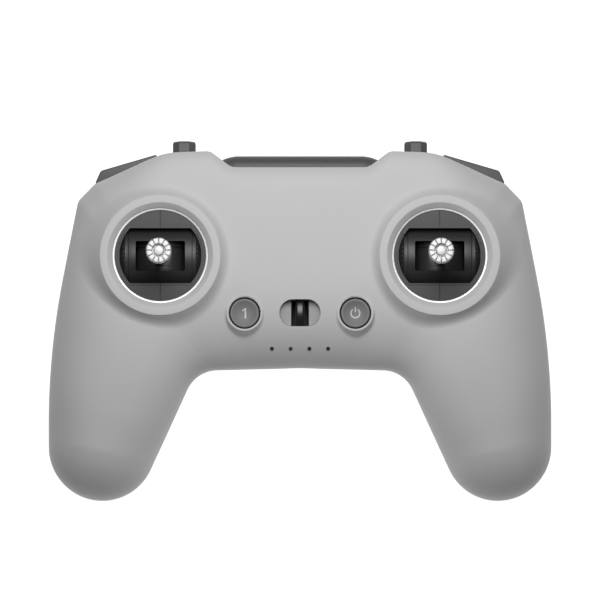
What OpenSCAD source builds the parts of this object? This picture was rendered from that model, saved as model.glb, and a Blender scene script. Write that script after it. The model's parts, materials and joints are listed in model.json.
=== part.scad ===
// Hand-held radio transmitter with two stick gimbals, lying on its back.
// X is the width, Y runs from the grips to the shoulders, Z points out of the face. Millimetres.

/* [Body] */
// Overall width across the grips
body_w = 165.4; // [155:0.2:180]
// Gimbal row to the ends of the grips
grip_reach = 78.6; // [74:0.2:88]
// Gimbal row to the top of the shoulders
shoulder_rise = 34.8; // [33:0.2:40]
// How far the saddle lies below the shoulders
saddle_dip = 5.1; // [4:0.1:7]
// Half width of the saddle
saddle_half = 22.4; // [21:0.2:25]
// Gimbal row to the edge between the grips
crotch_drop = 35.4; // [33:0.2:40]
// Radius of the grip ends
grip_end_r = 17.6; // [15:0.2:19]
// Lean of the inner edge of a grip
grip_lean = 25; // [20:1:30]
// Height of the face above the table
face_z = 42; // [40:0.5:48]
// Height of the back under the folding flap
back_z = 7; // [6:0.5:9]
// Height of the seam between the two shells
seam_z = 25.5; // [24:0.5:28]
// Wall thickness of the shells
wall = 2; // [1.6:0.1:2.4]

/* [Gimbals] */
// Distance of each gimbal from the middle
gimbal_x = 45.4; // [44:0.2:50]
// Depth of the pivot point under the raised ring
pivot_depth = 14; // [13:0.2:15]
// How far the raised ring stands above the face
ring_rise = 3; // [2:0.1:4]
// Outer radius of the raised ring
ring_r = 19.7; // [19:0.1:21]
// Opening radius inside the raised ring
bore_r = 15.5; // [15:0.1:16]
// Width of the sloping inner edge of the ring
bevel_w = 1.7; // [1:0.1:2]
// Radius of the round opening in the dark cover
cover_open_r = 13.35; // [13:0.05:13.8]
// Height of the opening in the dark cover
cover_band = 18; // [17:0.2:20]
// Radius of the drum that tips fore and aft
drum_r = 12; // [11.6:0.1:12.4]
// Swing of a stick to each side, in degrees
stick_swing = 24; // [20:1:26]
// Slot of the drum, fore and aft
slot_h = 9.7; // [9:0.1:10.4]
// Radius of the stick shaft
shaft_r = 2.3; // [2:0.1:2.6]
// Stick length above the pivot point
stick_len = 31; // [28:0.5:34]
// Radius of the crowned stick head
head_r = 4.1; // [3.6:0.1:4.6]
// Petals round the crown
petals = 12; // [8:1:16]

/* [Face controls] */
// Distance of each face button from the middle
button_x = 18; // [15:0.2:21]
// Face buttons below the gimbal row
button_drop = 18.6; // [16:0.1:20]
// Radius of a face button cap
button_r = 4.85; // [4:0.05:5.4]
// Travel of a face button
button_travel = 0.5; // [0.3:0.05:0.8]
// Lanyard recess, long way
recess_w = 13.4; // [12:0.1:15]
// Lanyard recess, short way
recess_h = 8.7; // [8:0.1:9.4]
// Depth of the lanyard recess
recess_deep = 8.4; // [7.8:0.1:8.6]
// Radius of the lanyard bar
bar_r = 1.5; // [1.2:0.1:1.7]
// Lamps below the gimbal row
lamp_drop = 29.9; // [29:0.1:31.6]
// Spacing of the four lamps
lamp_pitch = 6.1; // [5:0.1:7]
// Radius of a lamp
lamp_r = 0.6; // [0.5:0.05:0.8]

/* [Shoulder controls] */
// Distance of each toggle from the middle
toggle_x = 38.2; // [38:0.1:39]
// Width of a toggle
toggle_w = 7.5; // [7:0.1:8]
// How far a toggle stands above the shoulder
toggle_rise = 5; // [4:0.1:6]
// Radius of the toggle barrel
toggle_barrel_r = 5.4; // [5:0.1:5.8]
// Depth of the toggles behind the seam
control_drop = 6.5; // [6.2:0.1:7.5]
// How far a bumper stands out of the shoulder
bumper_out = 3.8; // [3:0.1:4.5]
// Height of a bumper from back to front
bumper_h = 10; // [8:0.5:11]
// Radius of the tilt dial
dial_r = 6.2; // [5.8:0.1:6.6]
// Width of the tilt dial
dial_w = 5; // [4:0.1:5.4]

/* [Folding flap] */
// Width of the flap at the hinge
flap_w = 52.4; // [50:0.2:53]
// Radius of the flap's hinge barrel
flap_barrel_r = 3.8; // [3.4:0.1:4]
// Length of the flap below its hinge
flap_len = 32; // [28:0.5:36]
// How far the hinge barrel stands above the shoulders
flap_rise = 0.9; // [0.4:0.1:1.4]
// Height of the hinge above the table
hinge_z = 13; // [12.5:0.1:13.5]

/* [Inside] */
// Height of the main board above the table
board_z = 24; // [23.5:0.1:24.5]
// Thickness of the main board
board_t = 1.6; // [1:0.1:2]
// Radius of the stick storage bores
store_r = 2.4; // [2.2:0.05:2.8]
// Depth of the stick storage bores
store_len = 12; // [10:0.5:14]
// Distance of each storage bore from the middle
store_x = 14; // [12:0.5:15]

/* [Fits] */
// Running clearance of a pin in its bore, on the radius
run_fit = 0.05; // [0.02:0.01:0.1]
// Clearance round a moving piece in an opening
gap = 0.35; // [0.25:0.05:0.5]
// Clearance between pieces that are fastened together
seat = 0.02; // [0.01:0.01:0.05]

/* [Hidden] */
$fn = 64;
// Overlap of fused solids, and how far a cut runs past its face
eps = 0.01;
over = 1;
half_w = body_w / 2;
top_rise = shoulder_rise + toggle_rise;
gimbal_y = (grip_reach - top_rise) / 2;
shoulder_y = gimbal_y + shoulder_rise;
saddle_y = shoulder_y - saddle_dip;
// The lower edge keeps clear of the lamps
lamp_edge = 4.4;
crotch_y = gimbal_y - max(crotch_drop, lamp_drop + lamp_edge);
grip_x = half_w - grip_end_r;
grip_y = gimbal_y - grip_reach + grip_end_r;
ring_z = face_z + ring_rise;
gimbal_z = ring_z - pivot_depth;
control_z = seam_z - control_drop;

// Outline of the body: corners are x, y, rounding radius and arc steps
shoulder_run = 7;
shoulder_in = saddle_half + shoulder_run;
bevel_past = 5.8;
bevel_side = 15.3;
corner_side = 9.7;
bevel_in = toggle_x + bevel_past;
bevel_out = half_w - bevel_side;
corner_out = half_w - corner_side;
bevel_low = 9.7;
corner_low = 15.4;
side_drop = 30.7;
side_low = gimbal_y - side_drop;
outer_corners = [
  [saddle_half, saddle_y, 3.5, 2],
  [shoulder_in, shoulder_y + 0.2, 3, 2],
  [bevel_in, shoulder_y - 0.3, 22, 3],
  [bevel_out, shoulder_y - bevel_low, 2.5, 2],
  [corner_out, shoulder_y - corner_low, 3.5, 2],
  [half_w, side_low, 250, 7]];
crotch_r = 11;
crotch_dip = 0.9;
lean_dir = [sin(grip_lean), -cos(grip_lean)];
lean_foot = [grip_x, grip_y] + grip_end_r * [lean_dir.y, -lean_dir.x];
crotch_x = lean_foot.x - lean_dir.x / lean_dir.y * (lean_foot.y - crotch_y + crotch_dip);
tip_angle = -(180 - grip_lean) / 2;
tip_steps = 7;

function unit(v) = v / norm(v);
function wrap(a) = a > 180 ? a - 360 : a < -180 ? a + 360 : a;
function polar(c, r, a) = c + r * [cos(a), sin(a)];
// Arc that rounds the corner b between a and c
function fillet(a, b, c, r, n) =
  let (u = unit(a - b), v = unit(c - b), h = acos(u * v) / 2)
  let (m = b + unit(u + v) * r / sin(h))
  let (p = b + u * r / tan(h) - m, q = b + v * r / tan(h) - m)
  let (a0 = atan2(p.y, p.x))
  let (turn = wrap(atan2(q.y, q.x) - a0))
  [for (i = [0:n]) polar(m, r, a0 + turn * i / n)];
function flat(lists) = [for (l = lists) each l];
function xy(c) = [c[0], c[1]];
// Long straight stretches are cut into steps
function cut_up(pts, step) = flat([for (i = [0:len(pts) - 1])
  let (n = i == 0 ? 1 : max(1, ceil(norm(pts[i] - pts[i - 1]) / step)))
  [for (k = [1:n]) i == 0 ? pts[0] : pts[i - 1] + (pts[i] - pts[i - 1]) * k / n]]);
function run_of(pts) = [for (i = 0, s = 0; i < len(pts);
  s = s + (i + 1 < len(pts) ? norm(pts[i + 1] - pts[i]) : 0), i = i + 1) s];
function rounded(first, corners, last) = [first,
  each flat([for (i = [0:len(corners) - 1])
    fillet(i == 0 ? first : xy(corners[i - 1]), xy(corners[i]),
      i == len(corners) - 1 ? last : xy(corners[i + 1]), corners[i][2], corners[i][3])]),
  last];

outer_step = 8;
outer_line = cut_up([
  each rounded([0, saddle_y], outer_corners, [half_w, grip_y]),
  each [for (i = [1:tip_steps]) polar([grip_x, grip_y], grip_end_r, tip_angle * i / tip_steps)]],
  outer_step);
inner_line = [
  each rounded([0, crotch_y], [[crotch_x, crotch_y - crotch_dip, crotch_r, 6]], lean_foot),
  each [for (i = [1:tip_steps * 2])
    polar([grip_x, grip_y], grip_end_r, 180 + grip_lean + (180 - grip_lean) / 2 * i / tip_steps / 2)]];
outer_run = run_of(outer_line);
inner_run = run_of(inner_line);
stations = len(outer_line) - 1;
inner_x_at = [for (i = [0:len(inner_line) - 1]) [inner_run[i], inner_line[i].x]];
inner_y_at = [for (i = [0:len(inner_line) - 1]) [inner_run[i], inner_line[i].y]];
tip_arc = grip_end_r * -tip_angle * PI / 180;
outer_full = outer_run[stations];
inner_full = inner_run[len(inner_run) - 1];
grip_share = 1 - tip_arc / outer_full;

// Which share of the inner edge faces which share of the outer edge
edge_match = [[0, 0], [0.13, 0.15], [0.25, 0.24], [0.44, 0.325], [0.64, 0.42], [0.75, 0.54],
  [grip_share, 1 - tip_arc / inner_full], [1, 1]];

// Cross-sections: share of the outer edge, seam, face and back heights, then how square the
// section is at the face and at the back, each first on its outer and then on its inner edge
grip_seam = 16.5;
grip_face = 33.5;
tip_seam = 14.5;
heel_rise = 1.5;
ribs = [
  [0, seam_z, face_z, back_z, 8, 3.1, 4, 3],
  [0.25, seam_z, face_z, back_z + heel_rise, 8, 2.6, 7, 3],
  [0.34, seam_z - 0.2, face_z, back_z + heel_rise, 3.8, 2.4, 6, 2.9],
  [0.42, seam_z - 0.4, face_z, back_z + heel_rise, 2.1, 2.3, 5, 2.8],
  [0.55, seam_z - 1.5, face_z - 0.4, back_z, 2.15, 2.3, 3, 2.6],
  [0.66, seam_z - 3.6, face_z - 1.8, back_z / 2, 2.1, 2.5, 2.5, 2.4],
  [0.77, seam_z - 6.5, face_z - 4.7, back_z / 12, 2.25, 2.4, 2.3, 2.2],
  [grip_share, grip_seam, grip_face, 0, 2.1, 2.1, 2.2, 2.2],
  [1, tip_seam, grip_face - 3.5, 0, 2.2, 2, 2.1, 2.1]];
function slope(t, i, k) = i == 0 ? (t[1][k] - t[0][k]) / (t[1][0] - t[0][0])
  : i == len(t) - 1 ? (t[i][k] - t[i - 1][k]) / (t[i][0] - t[i - 1][0])
  : (t[i + 1][k] - t[i - 1][k]) / (t[i + 1][0] - t[i - 1][0]);
function row_of(t, u, i = 0) = i >= len(t) - 2 || u < t[i + 1][0] ? i : row_of(t, u, i + 1);
// Smooth curve through a column of a table
function smooth(t, u, k) =
  let (i = row_of(t, u), h = t[i + 1][0] - t[i][0])
  let (f = (u - t[i][0]) / h)
  let (a = slope(t, i, k) * h, b = slope(t, i + 1, k) * h)
  t[i][k] * (2 * f * f * f - 3 * f * f + 1) + a * (f * f * f - 2 * f * f + f)
  + t[i + 1][k] * (3 * f * f - 2 * f * f * f) + b * (f * f * f - f * f);
function inner_at(u) = let (v = lookup(u, edge_match) * inner_full)
  [lookup(v, inner_x_at), lookup(v, inner_y_at)];
outer_x_at = [for (i = [0:stations]) [outer_run[i], outer_line[i].x]];
outer_y_at = [for (i = [0:stations]) [outer_run[i], outer_line[i].y]];
function outer_at(u) = [lookup(u * outer_full, outer_x_at), lookup(u * outer_full, outer_y_at)];
function end_share(u) = min(1, norm(outer_at(u) - inner_at(u)) / 2 / grip_end_r);
function seam_at(u) = smooth(ribs, u, 1);
function rise_at(u, front, d) = end_share(u) * (front ? smooth(ribs, u, 2) - seam_at(u)
  : seam_at(u) - max(0, smooth(ribs, u, 3))) - d;
// Height share of a section at the place q, from -1 on the outer edge to 1 on the inner edge
function bulge(u, q, front) = let (k = (front ? 4 : 6) + (q > 0 ? 1 : 0))
  let (p = smooth(ribs, u, k))
  pow(max(0, 1 - pow(abs(q), p)), 1 / p);
function skin_z(u, t, front) = seam_at(u)
  + (front ? 1 : -1) * rise_at(u, front, 0) * bulge(u, 2 * t - 1, front);
function skin_xy(u, t) = outer_at(u) + (inner_at(u) - outer_at(u)) * t;
// Heights of the face and the back on the middle of the body
function face_at(y) = skin_z(0, (saddle_y - y) / (saddle_y - crotch_y), true);
function back_at(y) = skin_z(0, (saddle_y - y) / (saddle_y - crotch_y), false);

// Points of one section, set in by d, from the outer edge to the inner edge
function section(i, d, m, front) =
  let (side = i < 0 ? -1 : 1, u = outer_run[abs(i)] / outer_full)
  let (o = outer_at(u), n = inner_at(u))
  let (w = norm(n - o))
  let (dir = w > eps ? (n - o) / w : [0, 0], r = rise_at(u, front, d))
  [for (j = [0:m])
    let (a = 180 * j / m)
    let (p = smooth(ribs, u, (front ? 4 : 6) + (a > 90 ? 1 : 0)))
    let (q = -sign(cos(a)) * pow(abs(cos(a)), 2 / p))
    let (f = pow(sin(a), 2 / p))
    let (c = o + dir * (d + (w - 2 * d) * (1 + q) / 2))
    [side * c.x, c.y, seam_at(u) + (front ? 1 : -1) * r * f]];

// Half of the hollow body, front or back, as one closed skin: the outside, the hollow, which stops
// short of the grip ends, and the rim on the seam
skin_steps = 10;
hollow_steps = 8;
solid_ends = 3;
module half_shell(front) {
  last = stations - 1;
  stop = stations - solid_ends;
  k = skin_steps + 1;
  h = hollow_steps + 1;
  outside = [for (i = [-last:last]) each section(i, 0, skin_steps, front)];
  tips = [for (i = [-stations, stations]) section(i, 0, skin_steps, front)[0]];
  inside = [for (i = [-stop:stop]) each section(i, wall, hollow_steps, front)];
  out = function (i, j) (i + last) * k + j;
  tip = len(outside);
  hol = function (i, j) tip + 2 + (i + stop) * h + j;
  o = function (i) out(i, 0);
  n = function (i) out(i, skin_steps);
  oh = function (i) hol(i, 0);
  nh = function (i) hol(i, hollow_steps);
  skin = [for (i = [-last:last - 1]) for (j = [0:skin_steps - 1]) each [
    [out(i, j), out(i + 1, j), out(i + 1, j + 1)], [out(i, j), out(i + 1, j + 1), out(i, j + 1)]]];
  ends = [for (j = [0:skin_steps - 1]) each [
    [tip, out(-last, j), out(-last, j + 1)], [out(last, j), tip + 1, out(last, j + 1)]]];
  lining = [for (i = [-stop:stop - 1]) for (j = [0:hollow_steps - 1]) each [
    [hol(i, j), hol(i + 1, j + 1), hol(i + 1, j)], [hol(i, j), hol(i, j + 1), hol(i + 1, j + 1)]]];
  lids = [[for (j = [hollow_steps:-1:0]) hol(-stop, j)], [for (j = [0:hollow_steps]) hol(stop, j)]];
  rim = [for (i = [-stop:stop - 1]) each [
    [o(i), oh(i), oh(i + 1)], [o(i), oh(i + 1), o(i + 1)],
    [nh(i), n(i), n(i + 1)], [nh(i), n(i + 1), nh(i + 1)]]];
  solid = [for (i = [stop + 1:last - 1]) each [
    [o(i), n(i), n(i + 1)], [o(i), n(i + 1), o(i + 1)],
    [o(-i), o(-i - 1), n(-i)], [o(-i - 1), n(-i - 1), n(-i)]]];
  joins = [
    [o(stop), oh(stop), o(stop + 1)], [oh(stop), n(stop + 1), o(stop + 1)],
    [oh(stop), nh(stop), n(stop + 1)], [nh(stop), n(stop), n(stop + 1)],
    [o(-stop - 1), oh(-stop), o(-stop)], [o(-stop - 1), n(-stop - 1), oh(-stop)],
    [n(-stop - 1), nh(-stop), oh(-stop)], [n(-stop - 1), n(-stop), nh(-stop)],
    [tip, n(-last), o(-last)], [o(last), n(last), tip + 1]];
  faces = [each skin, each ends, each lining, each lids, each rim, each solid, each joins];
  turned = [for (f = faces) [for (j = [len(f) - 1:-1:0]) f[j]]];
  polyhedron([each outside, each tips, each inside], front ? faces : turned);
}

module both() {
  children();
  mirror([1, 0, 0]) children();
}
module at_gimbal(side) {
  translate([side * gimbal_x, gimbal_y, gimbal_z]) children();
}
module on_x(r, h) {
  rotate([0, 90, 0]) cylinder(r = r, h = h, center = true);
}
module on_y(r, h) {
  rotate([90, 0, 0]) cylinder(r = r, h = h, center = true);
}
module block(size, at) {
  translate(at) cube(size, center = true);
}
module stadium(w, h) {
  square([w - h, h], center = true);
  translate([(w - h) / 2, 0]) circle(d = h);
  translate([(h - w) / 2, 0]) circle(d = h);
}

// Gimbal levels, counted up from the pivot point
ring_top = pivot_depth;
cover_sink = 2.5;
cover_t = 1.5;
cover_top = ring_top - cover_sink;
cover_low = cover_top - cover_t;
flange_t = 1.5;
flange_low = cover_low - flange_t;
ring_wall = 1.3;
flange_r = ring_r - ring_wall;
pocket_play = 0.2;
pocket_deep = 5;
pocket_low = flange_low - pocket_deep;

// The raised ring stands on a steep hollow cone that runs out into the face
bell_deep = 12;
bell_low = ring_top - bell_deep;
bell_slope = 1.5;
ring_edge = 0.3;
bevel_foot = 0.9;
function bell_at(z) = ring_r + (ring_top - ring_edge - z) / bell_slope;
module ring_bell() {
  rotate_extrude() polygon([
    [bore_r - eps, flange_low], [bore_r - eps, cover_top + bevel_foot],
    [bore_r + bevel_w, ring_top], [ring_r - ring_edge, ring_top], [ring_r, ring_top - ring_edge],
    [bell_at(bell_low), bell_low], [bell_at(bell_low) - wall, bell_low],
    [bell_at(flange_low) - wall, flange_low]]);
}
screw_spots = [50, 130, 230, 310];
screw_ring = (flange_r + bore_r) / 2;
screw_play = 0.1;
screw_tip = 0.2;
gimbal_screw_r = 0.8;
gimbal_bite = 1.2;
gimbal_head_r = 1.45;
gimbal_head_h = 1.2;
module gimbal_screw_places(z) {
  for (a = screw_spots) translate([screw_ring * cos(a), screw_ring * sin(a), z]) children();
}

// Shell screws: share along the edge, share across the section. The first one keeps beside its toggle.
boss_beside = 3.3;
boss_spots = [[(toggle_x - boss_beside) / outer_full, 0.273], [0.31, 0.82], [0.8, 0.5]];
boss_r = 3;
sink_r = 3.4;
sink_deep = 6;
seam_play = 0.1;
shell_screw_r = 1.2;
shell_head_r = 2.3;
shell_head_h = 1.8;
shell_bite = 8;
module boss_places() {
  both() for (s = boss_spots) {
    $seam = seam_at(s[0]);
    $face = skin_z(s[0], s[1], true);
    $back = skin_z(s[0], s[1], false);
    p = skin_xy(s[0], s[1]);
    translate([p.x, p.y, 0]) children();
  }
}

button_y = gimbal_y - button_drop;
button_z = face_at(button_y);
collar_w = 1.1;
collar_r = button_r + collar_w;
collar_rise = 0.6;
lamp_y = gimbal_y - lamp_drop;
recess_lift = 0.15;
recess_y = button_y + recess_lift;
recess_top = face_at(recess_y);
recess_floor = recess_top - recess_deep;
recess_wall = 1.3;
bar_sink = 0.6;
bar_z = recess_top - bar_r - bar_sink;
bar_end = 0.9;
// The bar is arched like the handle of a lid
bar_bow = 14;
module bar_arch(r, half) {
  a = asin(half / bar_bow);
  translate([0, recess_y, bar_z - bar_bow]) rotate([0, -90, 0]) rotate(-a)
    rotate_extrude(angle = 2 * a) translate([bar_bow, 0]) circle(r = r);
}
module lamp_places(z) {
  for (i = [-1.5:1.5]) translate([i * lamp_pitch, lamp_y, z]) children();
}
module button_places(z) {
  for (s = [-1, 1]) translate([s * button_x, button_y, z]) children();
}

module front_shell() {
  color("#c4c5c4") difference() {
    union() {
      half_shell(true);
      for (s = [-1, 1]) at_gimbal(s) ring_bell();
      button_places(button_z - wall) cylinder(r = collar_r, h = wall + collar_rise);
      translate([0, recess_y, recess_floor - recess_wall])
        linear_extrude(recess_deep + recess_wall - wall / 2)
          stadium(recess_w + 2 * recess_wall, recess_h + 2 * recess_wall);
      boss_places() translate([0, 0, $seam + seam_play])
        cylinder(r = boss_r, h = $face - wall / 2 - $seam - seam_play);
    }
    for (s = [-1, 1]) at_gimbal(s) {
      translate([0, 0, flange_low - over]) cylinder(r = bore_r, h = ring_top - flange_low + 2 * over);
      translate([0, 0, pocket_low])
        cylinder(r = flange_r + pocket_play, h = cover_top - pocket_low);
      gimbal_screw_places(cover_top - over) cylinder(r = gimbal_screw_r, h = gimbal_bite + over);
    }
    button_places(button_z - 3 * wall) cylinder(r = button_r + gap / 2, h = 4 * wall);
    lamp_places(board_z) cylinder(r = lamp_r, h = face_z);
    translate([0, recess_y, recess_floor])
      linear_extrude(recess_deep + over) stadium(recess_w, recess_h);
    bar_arch(bar_r + seat, recess_h / 2 + bar_end);
    boss_places() translate([0, 0, $seam - over])
      cylinder(r = shell_screw_r, h = over + shell_bite + screw_tip);
  }
}

// Toggles swing between two cheeks, above their switches
toggle_sink = 6;
toggle_y = shoulder_y - toggle_sink;
toggle_pin_r = 1.1;
cheek_t = 2;
cheek_in = toggle_w / 2 + gap;
cheek_share = 1.3;
cheek_tall = cheek_share * toggle_barrel_r;
switch_play = 0.5;
switch_top = toggle_y - toggle_barrel_r - switch_play;
switch_h = 6.5;
switch_deep = 8;
cheek_top = shoulder_y - wall / 2;
cheek_low = switch_top - switch_h;
module toggle_cheeks() {
  for (s = [-1, 1])
    block([cheek_t, cheek_top - cheek_low, cheek_tall],
      [toggle_x + s * (cheek_in + cheek_t / 2), (cheek_top + cheek_low) / 2, control_z]);
}

// Bumper outline: the two ends on the shoulder, the nose that stands out, then the inner edge
bevel_y = shoulder_y - bevel_low;
bumper_drop = 1;
bumper_top = seam_z - bumper_drop;
bumper_low = bumper_top - bumper_h;
bumper_start = 2.5;
pivot_past = 5.4;
pivot_back = 5.6;
bumper_pivot = [bevel_in + pivot_past, shoulder_y - pivot_back];
bumper_pin_r = 1;
bumper_pin_deep = 2.9;
bumper_press = 3.5;
nose_in = 1.8;
nose_lift = 0.8;
root_in = 3.9;
root_low = 2;
pivot_rim = [1.3, -2.4];
nose_tip = [0.2, 0.1];
heel_front = 0.5;
heel_back = 0.4;
bumper_corners = [
  [bevel_in + bumper_start, shoulder_y - heel_front],
  [bevel_out - nose_in, bevel_y + nose_lift + bumper_out],
  [bevel_out, bevel_y] + nose_tip,
  [bevel_out - root_in, bevel_y - root_low],
  bumper_pivot + pivot_rim,
  [bevel_in + bumper_start, bumper_pivot.y - heel_back]];
// Room for the bumper at rest and pressed in
module bumper_room() {
  for (a = [0, -bumper_press]) translate(bumper_pivot) rotate(a) translate(-bumper_pivot)
    offset(delta = gap) polygon(bumper_corners);
}
pivot_post_r = 2.2;
post_foot = back_z + 2 * wall;
click_in = 5.6;
click_back = 5.7;
post_spot = [bevel_out - click_in, bevel_y - click_back];
post_r = 2.4;
post_top = 14;
click_size = [5, 4, 7];
module bumper_posts() {
  translate([bumper_pivot.x, bumper_pivot.y, post_foot])
    cylinder(r = pivot_post_r, h = bumper_low - gap - post_foot);
  translate([post_spot.x, post_spot.y, post_foot]) cylinder(r = post_r, h = post_top - post_foot);
}

// Tilt dial at the back of the shoulder, between two cheeks
dial_show = 1.5;
dial_past = 1.5;
dial_back = 16.1;
dial_at = [-(toggle_x + post_spot.x) / 2 - dial_past, shoulder_y - dial_back, back_z + dial_r];
dial_pin_r = 1;
dial_pin_half = dial_w / 2 + gap + cheek_t;
dial_cheek_l = 4.6;
dial_cheek_up = 2;
dial_slot = 12;
dial_cheek_top = dial_at.z + dial_cheek_up;
dial_cheek_low = back_z + dial_show + wall / 2;
module dial_cheeks() {
  for (s = [-1, 1])
    block([cheek_t, dial_cheek_l, dial_cheek_top - dial_cheek_low],
      [dial_at.x + s * (dial_w / 2 + gap + cheek_t / 2), dial_at.y,
        (dial_cheek_top + dial_cheek_low) / 2]);
}

// Hinge of the folding flap: two ears and a web behind the barrel
hinge_y = shoulder_y + flap_rise - flap_barrel_r;
flap_pin_r = 1.2;
ear_t = 3;
ear_r = 2.6;
ear_root = 7.5;
ear_low = 1.5;
ear_in = flap_w / 2 + gap;
web_size = [2 * ear_in + ear_t, 3.5, 5.4];
web_back = 5.8;
web_rise = 3.6;
web_at = [0, hinge_y - web_back, hinge_z + web_rise];
module flap_ears() {
  both() translate([ear_in, 0, 0]) rotate([90, 0, 90]) linear_extrude(ear_t) {
    translate([hinge_y, hinge_z]) circle(r = ear_r);
    translate([hinge_y - ear_root, hinge_z - ear_low]) square(ear_root);
  }
  block(web_size, web_at);
}

// Socket and storage bores in the edge between the grips
port_w = 8.94;
port_h = 3.26;
port_skin = 0.3;
port_len = 7.3;
port_step = 0.5;
port_mouth = crotch_y + port_step;
port_play = 0.05;
port_z = board_z - port_h / 2 - port_play;
store_drop = 5;
store_z = board_z - store_drop;
sleeve_r = store_r + 1;
sleeve_end = 1.2;
store_step = 0.6;
store_mouth = crotch_y + store_step;

// Main board on four posts
board_half = 24.8;
board_front = 1;
board_low = crotch_y + wall + board_front;
board_back = 5.5;
board_high = saddle_y - board_back;
board_inset = 3.5;
spot_low = 6;
spot_high = 2.7;
board_spots = [
  [board_half - board_inset, board_low + spot_low],
  [board_half - board_inset, board_high - spot_high]];
board_post_r = 2.4;
board_screw_r = 1.1;
board_bite = 7;
board_head_r = 2.1;
board_head_h = 1.5;
board_top = board_z + board_t;
module board_places() {
  both() for (p = board_spots) {
    $post = back_at(p.y + sign(p.y - gimbal_y) * board_post_r) + wall / 2;
    translate([p.x, p.y, 0]) children();
  }
}

// Battery on two ribs
battery_size = [44, 36, 9];
battery_lift = 2.6;
battery_back = 7;
battery_low = back_z + wall + battery_lift;
battery_y = board_high - battery_back - battery_size.y / 2;
rib_t = 1.6;
rib_share = 0.8;
rib_w = battery_size.x * rib_share;
rib_foot = back_z + wall / 2;
module battery_ribs() {
  for (s = [-1, 1])
    block([rib_w, rib_t, battery_low - seat - rib_foot],
      [0, battery_y + s * battery_size.y / 3, (battery_low - seat + rib_foot) / 2]);
}

module rear_shell() {
  color("#b4b5b4") difference() {
    union() {
      half_shell(false);
      boss_places() translate([0, 0, $back + wall / 2])
        cylinder(r = sink_r, h = $seam - seam_play - $back - wall / 2);
      board_places() translate([0, 0, $post]) cylinder(r = board_post_r, h = board_z - $post);
      both() {
        toggle_cheeks();
        bumper_posts();
      }
      dial_cheeks();
      flap_ears();
      battery_ribs();
    }
    boss_places() {
      translate([0, 0, $back - over]) cylinder(r = shell_head_r + pocket_play, h = sink_deep + over);
      translate([0, 0, $back]) cylinder(r = shell_screw_r + screw_play, h = seam_z);
    }
    board_places() translate([0, 0, board_z - board_bite - screw_tip])
      cylinder(r = board_screw_r, h = board_bite + screw_tip + over);
    both() {
      block([2 * cheek_in, 4 * wall, 2 * (toggle_barrel_r + gap)], [toggle_x, shoulder_y, control_z]);
      translate([toggle_x, toggle_y, control_z]) on_x(toggle_pin_r, 2 * (cheek_in + cheek_t) + over);
      translate([0, 0, bumper_low - gap]) linear_extrude(bumper_h + 2 * gap) bumper_room();
      translate([bumper_pivot.x, bumper_pivot.y, bumper_low - gap - bumper_pin_deep])
        cylinder(r = bumper_pin_r, h = bumper_pin_deep + over);
      translate([ear_in + ear_t / 2, hinge_y, hinge_z]) on_x(flap_pin_r, ear_t + 2 * over);
      translate([store_x, crotch_y + wall, store_z]) on_y(sleeve_r + seat, 4 * wall);
    }
    translate([0, hinge_y, hinge_z]) on_x(flap_barrel_r + gap, 2 * ear_in);
    block([dial_w + 2 * gap, 2 * dial_r + 4 * gap, dial_slot], [dial_at.x, dial_at.y, back_z]);
    translate(dial_at) on_x(dial_pin_r, 2 * dial_pin_half + over);
    translate([0, crotch_y + wall, port_z]) rotate([90, 0, 0])
      linear_extrude(3 * wall, center = true) stadium(port_w + 2 * gap, port_h + 2 * gap);
  }
}

trim_w = 0.75;
trim_t = 0.9;
module trim_ring() {
  color("#d8d9da") difference() {
    translate([0, 0, cover_top]) cylinder(r = bore_r - seat, h = trim_t);
    translate([0, 0, cover_top - over]) cylinder(r = bore_r - trim_w, h = trim_t + 2 * over);
  }
}
module left_trim_ring() {
  at_gimbal(-1) trim_ring();
}
module right_trim_ring() {
  at_gimbal(1) trim_ring();
}

groove_w = 0.45;
groove_deep = 0.3;
module gimbal_cover() {
  color("#4a4b4c") difference() {
    translate([0, 0, cover_low]) cylinder(r = flange_r, h = cover_t);
    translate([0, 0, cover_low - over]) linear_extrude(cover_t + 2 * over) intersection() {
      circle(r = cover_open_r);
      square([3 * cover_open_r, cover_band], center = true);
    }
    for (s = [-1, 1])
      block([groove_w, bore_r - cover_band / 2, 2 * groove_deep],
        [0, s * (bore_r + cover_band / 2) / 2, cover_top]);
    gimbal_screw_places(cover_low - over)
      cylinder(r = gimbal_screw_r + screw_play, h = cover_t + 2 * over);
  }
}
module left_gimbal_cover() {
  at_gimbal(-1) gimbal_cover();
}
module right_gimbal_cover() {
  at_gimbal(1) gimbal_cover();
}

// The drum is a body of revolution about X, so it keeps its outline when it turns. A ball shape
// keeps its ends clear of the round opening in the cover.
drum_ball = norm([cover_open_r - gap, cover_low]);
drum_band = 10.3;
drum_step = 0.3;
drum_low_r = drum_r - drum_step;
drum_skin = 1.2;
drum_inset = 0.2;
drum_half = cover_open_r - drum_inset;
drum_end = drum_half + 1;
end_share = 0.75;
drum_end_r = end_share * drum_r;
drum_turn = acos(drum_low_r / drum_ball);
drum_stop = asin(drum_half / drum_ball);
drum_arcs = 4;
hollow_play = 0.7;
drum_hollow = drum_band + hollow_play;
drum_skirt = 6;
slot_w = 2 * (drum_r * tan(stick_swing) + shaft_r / cos(stick_swing) + gap / 2);
trunnion_r = 1.5;
trunnion_end = 0.2;
frame_play = 0.4;
frame_in = drum_end + frame_play;
frame_t = 3;
frame_out = frame_in + frame_t;
frame_floor = -13;
floor_t = 2;
floor_l = 24;
frame_side = 2 * sqrt(pow(flange_r - pocket_play, 2) - pow(frame_out, 2));
frame_lap = 0.5;
frame_lip = 0.1;
frame_top = flange_low + frame_lap;
pin_r = 1.2;
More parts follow.
